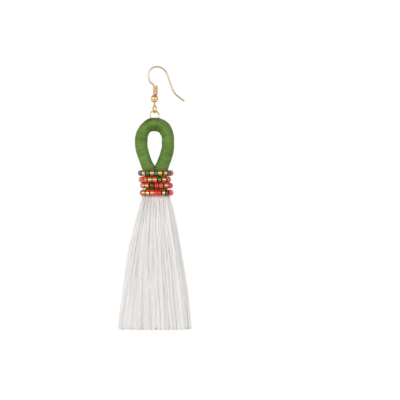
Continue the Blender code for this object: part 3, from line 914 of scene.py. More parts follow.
class EARRING_OT_ear_wire(bpy.types.Operator):
    """One bent wire: hook, shaft and eye, a circle carried along straight runs and arcs."""

    bl_idname = "earring.ear_wire"
    bl_label = "Ear Wire"

    def execute(self, context):
        settings = context.scene.earring.hook
        path, side, length = wire_route()
        radius = settings.wire_radius
        end, end_radii = rounded_end(length, radius)
        places = np.concatenate([[0.0, 0.05 * MM], np.arange(0.15 * MM, length - radius, 0.10 * MM), end])
        radii = np.full(len(places), radius)
        radii[0] *= WIRE_END_SHARE
        radii[-len(end):] = end_radii
        rings = sweep(resample(path, places), resample_with(path, side, places), radii, 18)
        warm = 1 - ramp(places, *EYE_TINT_ENDS)[None, :, None, None]
        obj = add_surface("ear_wire_surface", rings[None], wire_gold(settings), {"warm": warm})
        keep(obj, "hook", "gold", "ear_wire")
        return {"FINISHED"}


class EARRING_OT_hook_coil(bpy.types.Operator):
    """The spring: a circle carried along a helix, between the heights of its node."""

    bl_idname = "earring.hook_coil"
    bl_label = "Spring"

    def execute(self, context):
        settings = context.scene.earring.hook
        wire = settings.coil_wire_radius
        low, high = np.array(COIL_BOX)
        centre = (low + high) / 2
        radius = COIL_RADIUS - wire
        share = np.linspace(0, 1, round(settings.coil_turns * 36))
        angle = 2 * math.pi * settings.coil_turns * share
        rise = low[2] + wire + (high[2] - low[2] - 2 * wire) * share
        side = level_ray(angle)
        path = centre * (1, 1, 0) + COIL_SHIFT * ACROSS + radius * side + rise[:, None] * UP
        radii = np.full(len(path), wire)
        radii[[0, -1]] *= WIRE_END_SHARE
        rings = sweep(path, side, radii, 12)
        obj = add_surface("hook_coil_surface", rings[None], gold_plate(settings))
        keep(obj, "hook", "gold", "hook_coil")
        return {"FINISHED"}


class EARRING_OT_hook_ball(bpy.types.Operator):
    """The drilled ball: a sphere's outline and its bore, a closed profile turned about the upright axis."""

    bl_idname = "earring.hook_ball"
    bl_label = "Ball"

    def execute(self, context):
        settings = context.scene.earring.hook
        centre = np.array(BALL_BOX).mean(0)
        rim = math.asin(BALL_BORE / BALL_RADIUS)
        angle = np.linspace(rim, math.pi - rim, 45)
        wall = np.linspace(-1, 1, 7)[1:-1] * BALL_RADIUS * math.cos(rim)
        across = np.concatenate([BALL_RADIUS * np.sin(angle), np.full(len(wall), BALL_BORE)])
        height = np.concatenate([BALL_RADIUS * np.cos(angle), wall])
        rings = centre + across[:, None, None] * level_ray(loop_angles(72)) + height[:, None, None] * UP
        material = gold_plate(settings, "polished_gold", smooth=0.05, worn=0.12)
        obj = add_surface("hook_ball_surface", rings[None], material, looped=True)
        keep(obj, "hook", "gold", "hook_ball")
        return {"FINISHED"}


class EARRING_OT_jump_ring(bpy.types.Operator):
    """The jump ring: a circle carried round a larger one, open at its cut."""

    bl_idname = "earring.jump_ring"
    bl_label = "Jump Ring"

    def execute(self, context):
        settings = context.scene.earring.ring
        half_cut = RING_CUT / 2 / settings.radius
        angle = settings.cut_angle + np.linspace(half_cut, 2 * math.pi - half_cut, 220)
        side = np.cos(angle)[:, None] * RING_AXIS + np.sin(angle)[:, None] * UP
        path = RING_FOOT + settings.radius * UP + settings.radius * side
        radii = np.full(len(path), settings.wire_radius)
        radii[[0, -1]] *= RING_END_SHARE
        rings = sweep(path, side, radii, 20)
        obj = add_surface("jump_ring_surface", rings[None], pale_plate(settings))
        keep(obj, "ring", "pale_gold", "jump_ring")
        return {"FINISHED"}


# Thread-wrapped cord and neck

def cord_route():
    """The cord's route from left foot to right over the top, and how far down its legs start."""
    top = LOOP_TOP_RADIUS * math.sin(LOOP_TOP_TURN)
    widest = top + LOOP_SIDE_RADIUS * (1 - math.sin(LOOP_TOP_TURN))
    bends_take = (LOOP_SIDE_RADIUS + LOOP_FOOT_RADIUS) * (1 - math.cos(LOOP_LEAN))
    run = (widest - bends_take - LEG_OFFSET) / math.sin(LOOP_LEAN)
    bends = (
        (0.0, LOOP_TOP_RADIUS, LOOP_TOP_TURN),
        (0.0, LOOP_SIDE_RADIUS, math.pi / 2 - LOOP_TOP_TURN + LOOP_LEAN),
        (run, LOOP_FOOT_RADIUS, -LOOP_LEAN),
    )
    half = follow_bends((0, 0), math.pi / 2, bends)[0]
    depth = -half[-1, 1]
    leg = HEAD_TOP + FIT_GAP - LOOP_TOP[2]
    half = np.concatenate([half, np.array([[LEG_OFFSET, leg]])])
    both = np.concatenate([half[:0:-1] * (-1, 1), half])
    across, rise = both[:, :1], both[:, 1:]
    return LOOP_TOP + across * ACROSS + rise * UP, depth


def cord_form(path, along):
    """How far the outer and inner side stand off the plain cord at each point of its route."""
    below = (LOOP_TOP[2] - path[:, 2]) / MM
    left = ramp(-along[:, 0], -1 * MM, 1 * MM)
    sides = []
    for key in ("outer", "inner"):
        form = [np.interp(below, CORD_FORM["below"], CORD_FORM[side + key]) for side in ("left_", "right_")]
        sides.append((form[1] + left * (form[0] - form[1]))[:, None] * MM)
    return sides


def cord_lean(height, from_top):
    """How far the cord leans to the right: as the loop narrows, then with the rows of beads."""
    lean = NECK_LEAN * ramp(from_top, 0.35, 1.0)
    return lean + ramp(NECK_TOP - height, 0.0, 3.0 * MM) * (neck_sizes(height)[1] - lean)


def thread_relief(rng, thread, relief):
    """Round backs of neighbouring threads: relief (sqrt(1 - x^2) - 1) across each, with its own height."""
    number = np.floor(thread).astype(int)
    number = number - number.min()
    across = 2 * (thread - np.floor(thread)) - 1
    own = rng.uniform(-0.5, 0.3, number.max() + 1)
    tone = rng.uniform(0, 1, number.max() + 1)
    back = np.sqrt(np.clip(1 - across ** 2, 0, 1)) - 1
    return relief * (back + own[number]), tone[number]


def ring_room(points):
    """True where a point is in the space that the ring's wire sweeps through as the cord swings on it."""
    place = points - RING_FOOT
    along = place @ RING_AXIS
    rise = place @ UP
    aside = place @ RING_NORMAL
    inside = np.zeros(along.shape, bool)
    for swing in np.linspace(-SWING_RANGE, SWING_RANGE, SWING_STEPS):
        turned = rise * math.cos(swing) - aside * math.sin(swing)
        off_plane = rise * math.sin(swing) + aside * math.cos(swing)
        off_circle = np.hypot(along, turned - RING_RADIUS) - RING_RADIUS
        inside |= np.hypot(off_circle, off_plane) < RING_WIRE_RADIUS + FIT_GAP
    return inside


def open_groove(path, outward, radii):
    """Radii cut back to where their own ray, or either ray beside it, first meets the ring's room."""
    share = np.linspace(0.2, 1.0, 60)
    reach = radii[..., None] * share
    inside = ring_room(path[:, None, None] + reach[..., None] * outward[:, :, None])
    first = np.where(inside.any(-1), share[inside.argmax(-1)], 1.0)
    return radii * np.min([np.roll(first, turn, axis=1) for turn in (-1, 0, 1)], axis=0)


def cord_places(settings, route, depth):
    """Distances along the cord of its rings, close together where it shows, and the cord's length."""
    length = lengths_along(route)[-1]
    hidden = LOOP_TOP[2] - depth - LINK_GAP - HEAD_TOP - HIDDEN_START
    shown = np.arange(hidden, length - hidden, settings.thread_pitch / RINGS_PER_THREAD)
    first, last = np.linspace(0, hidden, 9)[:-1], np.linspace(length - hidden, length, 9)
    return np.concatenate([first, shown, last]), length


def cord_width(from_top):
    """The cord's plain radius: a little more where its legs close up, less in the neck."""
    base = CORD_RADIUS + ramp(from_top, *PINCH_SHARES) * (CORD_PINCH_RADIUS - CORD_RADIUS)
    return base + ramp(from_top, *NECK_SHARES) * (CORD_NECK_RADIUS - CORD_PINCH_RADIUS)


def bell(along, place, reach):
    """exp(-x^2) for the distance x from a place along the cord, in reaches."""
    return np.exp(-((along - place) / reach) ** 2)


def wound_surface(rng, settings, along, angle):
    """How far the wound thread stands off the cord, and its tone: slanted turns over slow lumps, with
    painted shade in the top bend and by the ring.
    """
    slant = SLANT_TURNS[0] * waves(rng, along, SLANT_LENGTHS[0])
    twisted = np.sin(angle + along * SLANT_TWIST)
    slant = slant + SLANT_TURNS[1] * waves(rng, along, SLANT_LENGTHS[1]) * twisted
    thread = along / settings.thread_pitch + angle / (2 * math.pi) + slant
    height, tone = thread_relief(rng, thread, settings.thread_relief)
    for sway, length, wave in zip(LUMP_SWAYS, LUMP_LENGTHS, (np.sin(angle), np.cos(angle))):
        height = height + LUMP_HEIGHT * waves(rng, along + sway * wave, length)
    crease = bell(along, CREASE_PLACE, CREASE_WIDTH) * ramp(-np.cos(angle), -0.2, 0.5)
    # Painted shade: darker inside the top bend, and along the top where the ring goes in
    fold_shade = bell(along, 0.0, FOLD_SHADE_REACH) * ramp(-np.cos(angle), -0.1, 0.6)
    top = bell(along, TOP_SHADE_PLACE, TOP_SHADE_REACH) * ramp(np.cos(angle), 0.1, 0.75)
    return height - CREASE_DEPTH * crease, tone - FOLD_SHADE_TONE * fold_shade - TOP_SHADE_TONE * top


class EARRING_OT_cord_loop(bpy.types.Operator):
    """The cord: a tube whose radius carries the backs of its thread, slow lumps and the ring's groove."""

    bl_idname = "earring.cord_loop"
    bl_label = "Cord Loop"

    def execute(self, context):
        settings = context.scene.earring.cord
        rng = np.random.default_rng(SEEDS["cord"])
        route, depth = cord_route()
        places, length = cord_places(settings, route, depth)
        path = resample(route, places)
        forward = unit(np.gradient(path, axis=0))
        side = np.stack((-forward[:, 2], 0 * places, forward[:, 0]), axis=1)
        from_top = (LOOP_TOP[2] - path[:, 2]) / depth
        angle = loop_angles(CORD_SIDES)[None]
        along = (places - length / 2)[:, None]
        hand = np.sign(along)
        outer, inner = cord_form(path, along)
        height, tone = wound_surface(rng, settings, along, angle)
        radii = cord_width(from_top)[:, None] + height
        radii = radii + (outer + inner) / 2 + (outer - inner) / 2 * np.cos(angle)
        lean = cord_lean(path[:, 2], from_top)
        path[:, 0] += lean
        path[:, 0] -= hand[:, 0] * (LEG_OFFSET - neck_sizes(path[:, 2])[0])
        across = np.cross(forward, side)
        outward = np.cos(angle[0])[:, None] * side[:, None] + np.sin(angle[0])[:, None] * across[:, None]
        near = np.abs(along[:, 0]) < GROOVE_REACH
        radii[near] = open_groove(path[near], outward[near], radii[near])
        rings = path[:, None] + radii[..., None] * outward
        past_middle = hand * ((LOOP_TOP[0] + lean)[:, None] - rings[..., 0]) + LINK_GAP / 4
        is_leg = (from_top > PINCH_SHARES[0])[:, None]
        rings[..., 0] += hand * np.where(is_leg, np.maximum(past_middle, 0), 0)
        # The tone mark holds each thread's own tone with the painted shade
        marks = {"grain": grain_marks(angle, CORD_RADIUS, along)[None], "tone": tone[None, :, :, None]}
        obj = add_surface("cord_loop_wrapped", rings[None], green_thread(settings), marks)
        keep(obj, "drop", "green_thread", "cord_loop")
        return {"FINISHED"}


class EARRING_OT_ring_threads(bpy.types.Operator):
    """Threads over the ring where it passes under the wrapping: arcs round the cord, each a thin tube."""

    bl_idname = "earring.ring_threads"
    bl_label = "Ring Threads"

    def execute(self, context):
        settings = context.scene.earring.cord
        rng = np.random.default_rng(SEEDS["ring_threads"])
        count, rows, sides = 5, 26, 8
        thickness = settings.thread_pitch * 0.47
        along = (np.arange(count) - (count - 1) / 2) * settings.thread_pitch
        turn = along / LOOP_TOP_RADIUS
        centre_x = LOOP_TOP_RADIUS * np.sin(turn)
        centre_z = LOOP_TOP_RADIUS * (np.cos(turn) - 1)
        nothing = np.zeros(count)
        middle = LOOP_TOP + np.stack((centre_x, nothing, centre_z), axis=1)
        outward = np.stack((np.sin(turn), nothing, np.cos(turn)), axis=1)
        angle = np.linspace(-THREAD_REACH, THREAD_REACH, rows)[None]
        lift = rng.uniform(-0.02, 0.02, (count, 1)) * MM
        radius = CORD_RADIUS + CORD_FORM["left_outer"][0] * MM - thickness + lift
        radius = radius - 0.25 * MM * ramp(np.abs(angle), 0.75 * THREAD_REACH, THREAD_REACH)
        front = np.array((0.0, -1.0, 0.0))
        ray = np.cos(angle)[..., None] * outward[:, None] + np.sin(angle)[..., None] * front
        sway = rng.uniform(-0.03, 0.03, (count, 1, 1)) * MM * np.sin(3 * angle)[..., None]
        path = middle[:, None] + radius[..., None] * ray + sway * ACROSS
        rings = sweep(path, ray, np.full((count, rows), thickness), sides)
        grain = grain_marks(angle[..., None], CORD_RADIUS, along[:, None, None] + 0 * loop_angles(sides))
        # Painted shade, as on the cord's top where the ring goes in
        marks = {"grain": grain, "tone": rng.uniform(0, 1, (count, 1, 1, 1)) - TOP_SHADE_TONE}
        obj = add_surface("ring_threads", rings, green_thread(settings), marks)
        keep(obj, "drop", "green_thread")
        return {"FINISHED"}


def neck_sizes(height):
    """Half straight and shift of the neck at a height: its rows are drawn in and lean a little."""
    rise = [*ROW_HEIGHTS[::-1], NECK_TOP + NECK_RISE]
    narrowing = np.interp(height, rise, [*NECK_ROWS["narrower"][::-1], 0.0]) * MM
    shift = np.interp(height, rise, [*NECK_ROWS["across"][::-1], NECK_LEAN / MM]) * MM
    return LEG_OFFSET - narrowing, shift


def painted_bead_glow(height, outward):
    """How much painted glow, the colour of light through the beads, the thread takes: at the front, from the
    first row to the third.
    """
    edge = BINDING_PAINTED_GLOW_EDGE
    glow = ramp(height, ROW_HEIGHTS[2] - edge, ROW_HEIGHTS[2] + edge)
    glow = BINDING_PAINTED_GLOW_SHARE * glow * ramp(-height, -ROW_HEIGHTS[0] - edge, edge - ROW_HEIGHTS[0])
    return glow * ramp(-outward[..., 1], -0.3, 0.4)


class EARRING_OT_neck_binding(bpy.types.Operator):
    """The binding: a closed wall section, ridged by its thread, carried round a stadium."""

    bl_idname = "earring.neck_binding"
    bl_label = "Neck Binding"

    def execute(self, context):
        settings = context.scene.earring.cord
        rng = np.random.default_rng(SEEDS["binding"])
        turn = np.arange(BINDING_SIDES)[None] / BINDING_SIDES
        heights = np.arange(NECK_TOP, NECK_FOOT + BINDING_SHORT, -settings.thread_pitch / 6)
        inner = np.linspace(heights[-1], NECK_TOP, 12)
        height = np.concatenate([heights, inner])[:, None]
        outside = (np.arange(len(height)) < len(heights))[:, None]
        slant = 0.4 * waves(rng, turn, 1.0, 3) * np.sin(height * 900)
        thread = height / settings.thread_pitch + turn + slant
        relief, tone = thread_relief(rng, thread, settings.thread_relief)
        half_straight, shift = neck_sizes(height)
        middle, outward = stadium(turn + 0 * height, LEG_OFFSET, BINDING_OUTER)
        middle = middle * (half_straight / LEG_OFFSET)[..., None]
        radius = np.where(outside, BINDING_OUTER - 0.02 * MM + relief, BINDING_INNER)
        place = HANG_LINE + middle + radius[..., None] * outward + height[..., None] * UP
        place[..., 0] += shift
        grain = grain_marks(turn * 0, BINDING_OUTER, height)
        grain[..., 0] = turn * 32
        marks = {"grain": grain[None], "tone": tone[None, :, :, None]}
        # Painted glow where light through the beads tints the binding
        marks["glow"] = painted_bead_glow(height, outward)[None, ..., None]
        material = green_thread(settings, "wound_green", BINDING_TINT, BINDING_PAINTED_GLOW)
        obj = add_surface("neck_binding_wound", place[None], material, marks, looped=True)
        keep(obj, "drop", "green_binding", "neck_binding")
        return {"FINISHED"}


# String of beads

def string_route():
    """Points of the bead string, four turns round the binding, and the outward direction at each."""
    turn = np.linspace(STRING_START, len(ROW_HEIGHTS) - STRING_START, 4000)
    height = np.full(len(turn), ROW_HEIGHTS[0])
    for row in range(1, len(ROW_HEIGHTS)):
        fall = ROW_HEIGHTS[row - 1] - ROW_HEIGHTS[row]
        height -= fall * ramp(turn, row - STEP_SHARE, row + STEP_SHARE)
    half_straight, shift = neck_sizes(height)
    middle, outward = stadium(turn, LEG_OFFSET, STRING_RADIUS)
    middle = middle * (half_straight / LEG_OFFSET)[:, None]
    path = HANG_LINE + middle + STRING_RADIUS * outward + height[:, None] * UP
    path[:, 0] += shift
    return path, outward, turn


def bead_places(path, turn, pitch):
    """Distances of the beads along the string and their numbers, with those in front at their places."""
    along = lengths_along(path)
    marks, numbers, firsts = [], [], []
    for row, (index, across) in enumerate(FRONT_PLACES):
        front = (turn > row + 0.28) & (turn < row + 0.72)
        found = np.interp(np.array(across) * MM, path[front, 0] - HANG_LINE[0], along[front])
        first = numbers[-1] + max(1, round((found[0] - marks[-1]) / pitch)) if marks else 0
        marks.extend(found)
        numbers.extend(first + np.arange(len(found)))
        firsts.append(first - index)
    before = int((marks[0] - 0.5 * pitch) / pitch)
    after = int((along[-1] - marks[-1] - 0.5 * pitch) / pitch)
    number = np.arange(-before, numbers[-1] + after + 1)
    places = np.interp(number, numbers, marks)
    places = np.where(number < 0, marks[0] + number * pitch, places)
    places = np.where(number > numbers[-1], marks[-1] + (number - numbers[-1]) * pitch, places)
    return places, number, firsts


def bead_names(rng, number, firsts):
    """Colour name of each bead: the chart's along the front of a row, a seeded choice elsewhere."""
    names = rng.choice(list(BEAD_COLOURS), len(number), p=BACK_SHARES)
    for first, chart in zip(firsts, FRONT_ROWS):
        names[first - number[0]:first - number[0] + len(chart)] = chart
    return names


def bead_rings(rng, centre, forward, outward, room, lined, settings):
    """Beads: a closed oval section of the glass wall, squarer if lined, turned about the string."""
    count = len(centre)
    size = rng.uniform(0.95, 1.03, (count, 1)) * np.where(lined, 1.04, 1.0)[:, None]
    size = size * np.interp(centre[:, 2], ROW_HEIGHTS[::-1], NECK_ROWS["bead_size"][::-1])[:, None]
    long = room[:, None] * 0.492 * rng.uniform(0.97, 1.01, (count, 1))
    angle = loop_angles(BEAD_ROWS)
    wall = (settings.diameter - settings.bore) / 4
    power = np.where(lined, *BEAD_SQUARENESS)[:, None]
    across = settings.bore / 2 + wall + wall * np.sign(np.sin(angle)) * np.abs(np.sin(angle)) ** power
    along = long * np.sign(np.cos(angle)) * np.abs(np.cos(angle)) ** power
    across = across * size
    turn = loop_angles(BEAD_SIDES)
    third = np.cross(forward, outward)
    ray = np.cos(turn)[:, None] * outward[:, None] + np.sin(turn)[:, None] * third[:, None]
    return (
        centre[:, None, None]
        + along[:, :, None, None] * forward[:, None, None]
        + across[:, :, None, None] * ray[:, None]
    )


def bead_colours(rng, names):
    """The colour and the painted shade colour of each bead (for lined beads the band's and the glass beside
    it), each a little lighter or darker than its table.
    """
    colour = np.array([BEAD_COLOURS[name] for name in names])
    shade = np.array([LINED_BEADS.get(name, np.multiply(BEAD_COLOURS[name], RIM_SHADE_TINT)) for name in names])
    both = np.clip(np.stack([colour, shade]) * rng.uniform(0.88, 1.12, (len(names), 1)), 0, 1)
    return np.concatenate([both, np.ones_like(both[..., :1])], axis=-1)


def add_bead_thread(path, places):
    """The thread through the beads, from the first to the last: a small circle carried along its route."""
    sides, step = 8, 0.25 * MM
    string = resample(path, np.arange(places[0], places[-1], step))
    radii = np.full(len(string), STRING_THREAD_RADIUS)
    rings = sweep(string, np.broadcast_to(UP, string.shape), radii, sides)
    along = np.arange(len(string))[:, None] * step
    marks = {"grain": grain_marks(loop_angles(sides)[None], STRING_THREAD_RADIUS, along)[None]}
    marks["tone"] = np.full((1, 1, 1, 1), 0.5)
    obj = add_surface("bead_thread", rings[None], string_thread(), marks)
    keep(obj, "drop", "glass_beads", "bead_strand")


class EARRING_OT_bead_string(bpy.types.Operator):
    """Glass beads on their thread, wound round the neck: closed oval sections turned about the string."""

    bl_idname = "earring.bead_string"
    bl_label = "Bead String"

    def execute(self, context):
        settings = context.scene.earring.beads
        rng = np.random.default_rng(SEEDS["beads"])
        path, outward, turn = string_route()
        places, number, firsts = bead_places(path, turn, settings.pitch)
        names = bead_names(rng, number, firsts)
        gaps = np.diff(places, prepend=places[0] - settings.pitch, append=places[-1] + settings.pitch)
        room = np.minimum(gaps[1:], gaps[:-1])
        centre = resample(path, places)
        forward = unit(resample(path, places + 0.3 * MM) - resample(path, places - 0.3 * MM))
        outward = resample_with(path, outward, places)
        forward = unit(forward + rng.normal(0, 0.035, forward.shape))
        outward = unit(outward - (outward * forward).sum(1, keepdims=True) * forward)
        centre = centre + rng.normal(0, 0.03, (len(centre), 1)) * MM * UP
        lined = np.isin(names, list(LINED_BEADS))
        rings = bead_rings(rng, centre, forward, outward, room, lined, settings)
        glass, shade = bead_colours(rng, names)[:, :, None, None]
        # Distance round each bead from its outward middle, where the lined beads' painted highlight band
        # lies
        beside = np.abs(np.sin(loop_angles(BEAD_SIDES)))[:, None]
        for piece, chosen, material in (
            ("glass_beads", ~lined, clear_glass()),
            ("gold_lined_beads", lined, lined_glass()),
        ):
            marks = {"glass": glass[chosen], "glass_shade": shade[chosen], "beside_lining": beside}
            obj = add_surface(piece, rings[chosen], material, marks, looped=True)
            keep(obj, "drop", "glass_beads", "bead_strand")
        add_bead_thread(path, places)
        return {"FINISHED"}


def clear_glass():
    constants = {"Transmission Weight": 0.45, "IOR": 1.55, "Specular IOR Level": 0.1}
    constants.update({"Coat Weight": 0.5, "Coat IOR": 1.7, "Coat Roughness": 0.03})
    return bead_material("bead_glass", constants, 0.06, 0.14, (0.02, 0.40))


def lined_glass():
    constants = {"Metallic": 0.15, "Coat Weight": 0.4, "Coat Roughness": 0.08}
    return bead_material("gold_lined_glass", constants, 0.22, 0.34, LINING_EDGE, lined=True)


# Yarn fringe

def half_size(down, key, at_neck, full):
    """Half a size of the fringe at shares of the way down, smoothed from a column of its sections."""
    parts = [np.interp(down + blur, FRINGE_SECTIONS["down"], FRINGE_SECTIONS[key]) for blur in SECTION_BLUR]
    drawn_in = NECK_SQUEEZE + (1 - NECK_SQUEEZE) * ramp(down, -0.02, 0.0)
    return (at_neck + (full - at_neck) * (sum(parts) / len(parts))) * drawn_in


def fringe_sizes(down, angle):
    """Half sizes across and deep of the fringe at angles round it, and how far it leans to the right."""
    left = half_size(down, "left", NECK_HALF_WIDTH, FRINGE_HALF_WIDTH)
    right = half_size(down, "right", NECK_HALF_WIDTH, FRINGE_HALF_WIDTH)
    deep = half_size(down, "deep", NECK_HALF_DEPTH, FRINGE_HALF_DEPTH)
    return np.where(np.cos(angle) > 0, right, left), deep, FRINGE_LEAN * (1 - ramp(down, 0.0, 0.25))


def even_turns(count):
    """Angles that share out the length of the fringe's oval foot evenly."""
    angle = np.linspace(0, 2 * math.pi, 2001)
    speed = np.hypot(FRINGE_HALF_WIDTH * np.sin(angle), FRINGE_HALF_DEPTH * np.cos(angle))
    along = np.concatenate([[0], np.cumsum((speed[1:] + speed[:-1]) / 2)])
    return np.interp((np.arange(count) + 0.5) / count * along[-1], along, angle)


def even_shares(turns):
    """The shares of the oval foot's length at which angles lie."""
    count = 720
    return np.interp(np.mod(turns, 2 * math.pi), even_turns(count), (np.arange(count) + 0.5) / count)


def gather_locks(turns, down):
    """Angles drawn together in locks that sway as one, how far out they lie, and their tone: each lock's
    own, with painted shade towards its edges.
    """
    rng = np.random.default_rng(SEEDS["locks"])
    place = even_shares(turns) * LOCKS + 0.3 * np.sin(5 * turns)
    place = place + LOCK_DRIFT * np.sin(2 * turns + 1.3) * down
    number = np.floor(place).astype(int) % LOCKS
    across = 2 * (place - np.floor(place)) - 1
    phase = rng.uniform(0, 2 * math.pi, (3, LOCKS))[:, number]
    own = rng.uniform(-1.0, 1.0, (2, LOCKS))[:, number]
    grow = ramp(down, 0.0, 0.06)
    sway = 0.5 * own[0] * np.sin(math.pi * down + phase[0])
    sway = sway + 0.2 * np.sin(2 * math.pi * 2.1 * down + phase[1])
    width = 2 * math.pi / LOCKS
    angle = turns + grow * width * (LOCK_SWAY * sway - LOCK_DRAW * across)
    rise = own[1] * 0.5 + 0.2 * np.sin(2 * math.pi * 1.3 * down + phase[2]) - across ** 2
    deeper = 1 + LOCK_TOP_SHARE * (1 - ramp(down, 0.10, 0.50))
    # Painted shade: the tone falls towards each lock's edges, where it meets the next
    return angle, LOCK_DEPTH * grow * deeper * rise, (own[0] + 1) / 2 - 0.8 * across ** 4


def strand_paths(rng, turns, shares, down, inset):
    """Routes of strands: a place in the oval section, gathered in locks, with a small sway of their own."""
    turns = turns[:, None]
    angle, stand_out, tone = gather_locks(turns, down)
    share_top, share_foot = shares
    share = share_top[:, None] + (share_foot - share_top)[:, None] * ramp(down, 0.0, 0.45)
    wide, deep, shift = fringe_sizes(down, angle)
    phase = rng.uniform(0, 2 * math.pi, (3, len(turns), 1))
    pace = rng.uniform(0.7, 1.3, (3, len(turns), 1))
    grow = ramp(down, 0.0, 0.35)
    aside, finer, deeper = (
        size * np.sin(2 * math.pi * count * quick * down + start)
        for (size, count), quick, start in zip(STRAND_SWAYS, pace, phase)
    )
    sway = (aside + finer) * grow * MM
    depth = (deeper - STRAND_SWAYS[2][0]) * grow * MM + stand_out
    across = (wide - inset) * share * np.cos(angle) - sway * np.sin(angle) + depth * np.cos(angle)
    along_y = (deep - inset) * share * np.sin(angle) + sway * np.cos(angle) * 0.5 + depth * np.sin(angle)
    height = NECK_FOOT - down * FRINGE_LENGTH
    return HANG_LINE + np.stack((across + shift, along_y, height + 0 * across), axis=-1), angle, tone


def yarn_rings(path, angle, radius, sides, twist, plies_share):
    """A two-ply strand: radius (1 + share cos 2(a - twist)), carried along its route."""
    around = loop_angles(sides)
    radii = radius[..., None] * (1 + plies_share * np.cos(2 * (around - twist[..., None])))
    return sweep(path, level_ray(angle), radii, sides), around


def strand_downs(rng, count, rows, start):
    """Shares of the way down for each row of each strand, from its start to its own trimmed end."""
    trim = 1 - TRIM_UNEVEN / FRINGE_LENGTH * rng.uniform(0, 1, (count, 1))
    return start + (trim - start) * np.append(np.linspace(0, 1 - TIP_SHARE, rows - 1), 1.0)


def yarn_radius(full, down):
    return full * (NECK_YARN + (1 - NECK_YARN) * ramp(down, -0.02, 0.28))


def add_core(rng, settings):
    """The mass of yarn behind the outer strands: their oval section, ridged like strands side by side."""
    sides, rows = 4 * CORE_RIDGES, 60
    down = np.linspace(FRINGE_START, 1 - CORE_SHORT / FRINGE_LENGTH, rows)[:, None]
    turns = even_turns(sides)[None]
    angle, stand_out, tone = gather_locks(turns, down)
    ridge = np.arange(sides) // 4
    back = np.abs(np.sin(math.pi * (np.arange(sides) + 0.5) / 4))
    wide, deep, shift = fringe_sizes(down, angle)
    inset = settings.yarn_radius * (0.6 + 0.5 * (1 - back) + 0.2 * rng.uniform(0, 1, CORE_RIDGES)[ridge])
    inset = inset - stand_out
    height = NECK_FOOT - down * FRINGE_LENGTH
    across = (wide - inset) * np.cos(angle) + shift
    parts = np.broadcast_arrays(across, (deep - inset) * np.sin(angle), height)
    rings = HANG_LINE + np.stack(parts, axis=-1)
    grain = grain_marks(2 * math.pi * back[None], settings.yarn_radius, down * FRINGE_LENGTH)
    tone = (0.5 * tone + 0.5 * rng.uniform(0, 1, CORE_RIDGES)[ridge])[None, ..., None]
    obj = add_surface("fringe_core", rings[None], white_yarn(settings), {"grain": grain[None], "tone": tone})
    keep(obj, "drop", "white_yarn", "tassel_fringe")


def add_strands(name, rng, turns, shares, settings, form):
    """Strands of yarn as one mesh, with the grain turning with the twist and a tone for each strand."""
    count = len(turns)
    down = strand_downs(rng, count, form["rows"], form["start"])
    full = settings.yarn_radius * rng.uniform(0.88, 1.08, (count, 1))
    radius = yarn_radius(full, down)
    path, angle, tone = strand_paths(rng, turns, shares, down, radius * 0.9)
    length = FRINGE_LENGTH * down
    twist = 2 * math.pi * length / YARN_TWIST + rng.uniform(0, 2 * math.pi, (count, 1))
    rings, around = yarn_rings(path, angle, radius, form["sides"], twist, form["plies"])
    grain = grain_marks(around - twist[..., None], settings.yarn_radius, length[..., None])
    grain = grain + rng.uniform(0, 60, (count, 1, 1, 3))
    tone = 0.6 * tone[..., None, None] + 0.4 * rng.uniform(0, 1, (count, 1, 1, 1))
    obj = add_surface(name, rings, white_yarn(settings), {"grain": grain, "tone": tone})
    keep(obj, "drop", "white_yarn", "tassel_fringe")
    return path, angle


class EARRING_OT_fringe(bpy.types.Operator):
    """The fringe: strands of yarn from the neck down, the outer ones plied, with a few loose fibres."""

    bl_idname = "earring.fringe"
    bl_label = "Yarn Fringe"

    def execute(self, context):
        settings = context.scene.earring.fringe
        rng = np.random.default_rng(SEEDS["fringe"])
        add_core(rng, settings)
        count = settings.inner_strands
        share = CORE_SHARE * np.sqrt((np.arange(count) + 0.5) / count)
        golden = math.pi * (3 - math.sqrt(5))
        turns = np.mod(np.arange(count) * golden, 2 * math.pi)
        add_strands("fringe_inner", rng, turns, (share, share), settings, INNER_STRAND)
        count = settings.outer_strands
        turns = even_turns(count)
        share_top = rng.uniform(0.86, 1.0, count)
        share_foot = np.where(np.arange(count) % 2 == 0, 1.0, 0.955) - rng.uniform(0, 0.02, count)
        routes = []
        for name, chosen in (("fringe_front", np.sin(turns) < 0), ("fringe_back", np.sin(turns) >= 0)):
            shares = (share_top[chosen], share_foot[chosen])
            routes.append(add_strands(name, rng, turns[chosen], shares, settings, OUTER_STRAND))
        add_loose_fibres(rng, routes, settings)
        return {"FINISHED"}


def add_loose_fibres(rng, routes, settings):
    """Fibres that stand off the outer strands: each leaves one along a shallow parabola."""
    path, angle = (np.concatenate(parts) for parts in zip(*routes))
    strand = rng.integers(0, len(path), LOOSE_FIBRES)
    rows = path.shape[1]
    first = rng.integers(rows // 8, rows - 16, LOOSE_FIBRES)
    steps = np.arange(12)
    picked = path[strand[:, None], first[:, None] + steps]
    side = angle[strand[:, None], first[:, None] + steps]
    outward = level_ray(side)
    share = steps / steps[-1]
    lift = rng.uniform(0.25, 0.9, (LOOSE_FIBRES, 1)) * MM
    rise = settings.yarn_radius * 0.8 + lift * (share ** 2)
    swing = rng.uniform(-0.6, 0.6, (LOOSE_FIBRES, 1)) * MM * share ** 2
    across = np.stack((-np.sin(side), np.cos(side), np.zeros_like(side)), axis=-1)
    places = picked + rise[..., None] * outward + swing[..., None] * across
    radii = np.broadcast_to(LOOSE_RADIUS * (1 - 0.6 * share), places.shape[:2])
    rings = sweep(places, outward, radii, 4)
    marks = {
        "grain": rng.uniform(0, 60, (LOOSE_FIBRES, 1, 1, 3)),
        "tone": rng.uniform(0.4, 1, (LOOSE_FIBRES, 1, 1, 1)),
    }
    obj = add_surface("fringe_loose_fibres", rings, white_yarn(settings), marks)
    keep(obj, "drop", "white_yarn", "tassel_fringe")


# Stage

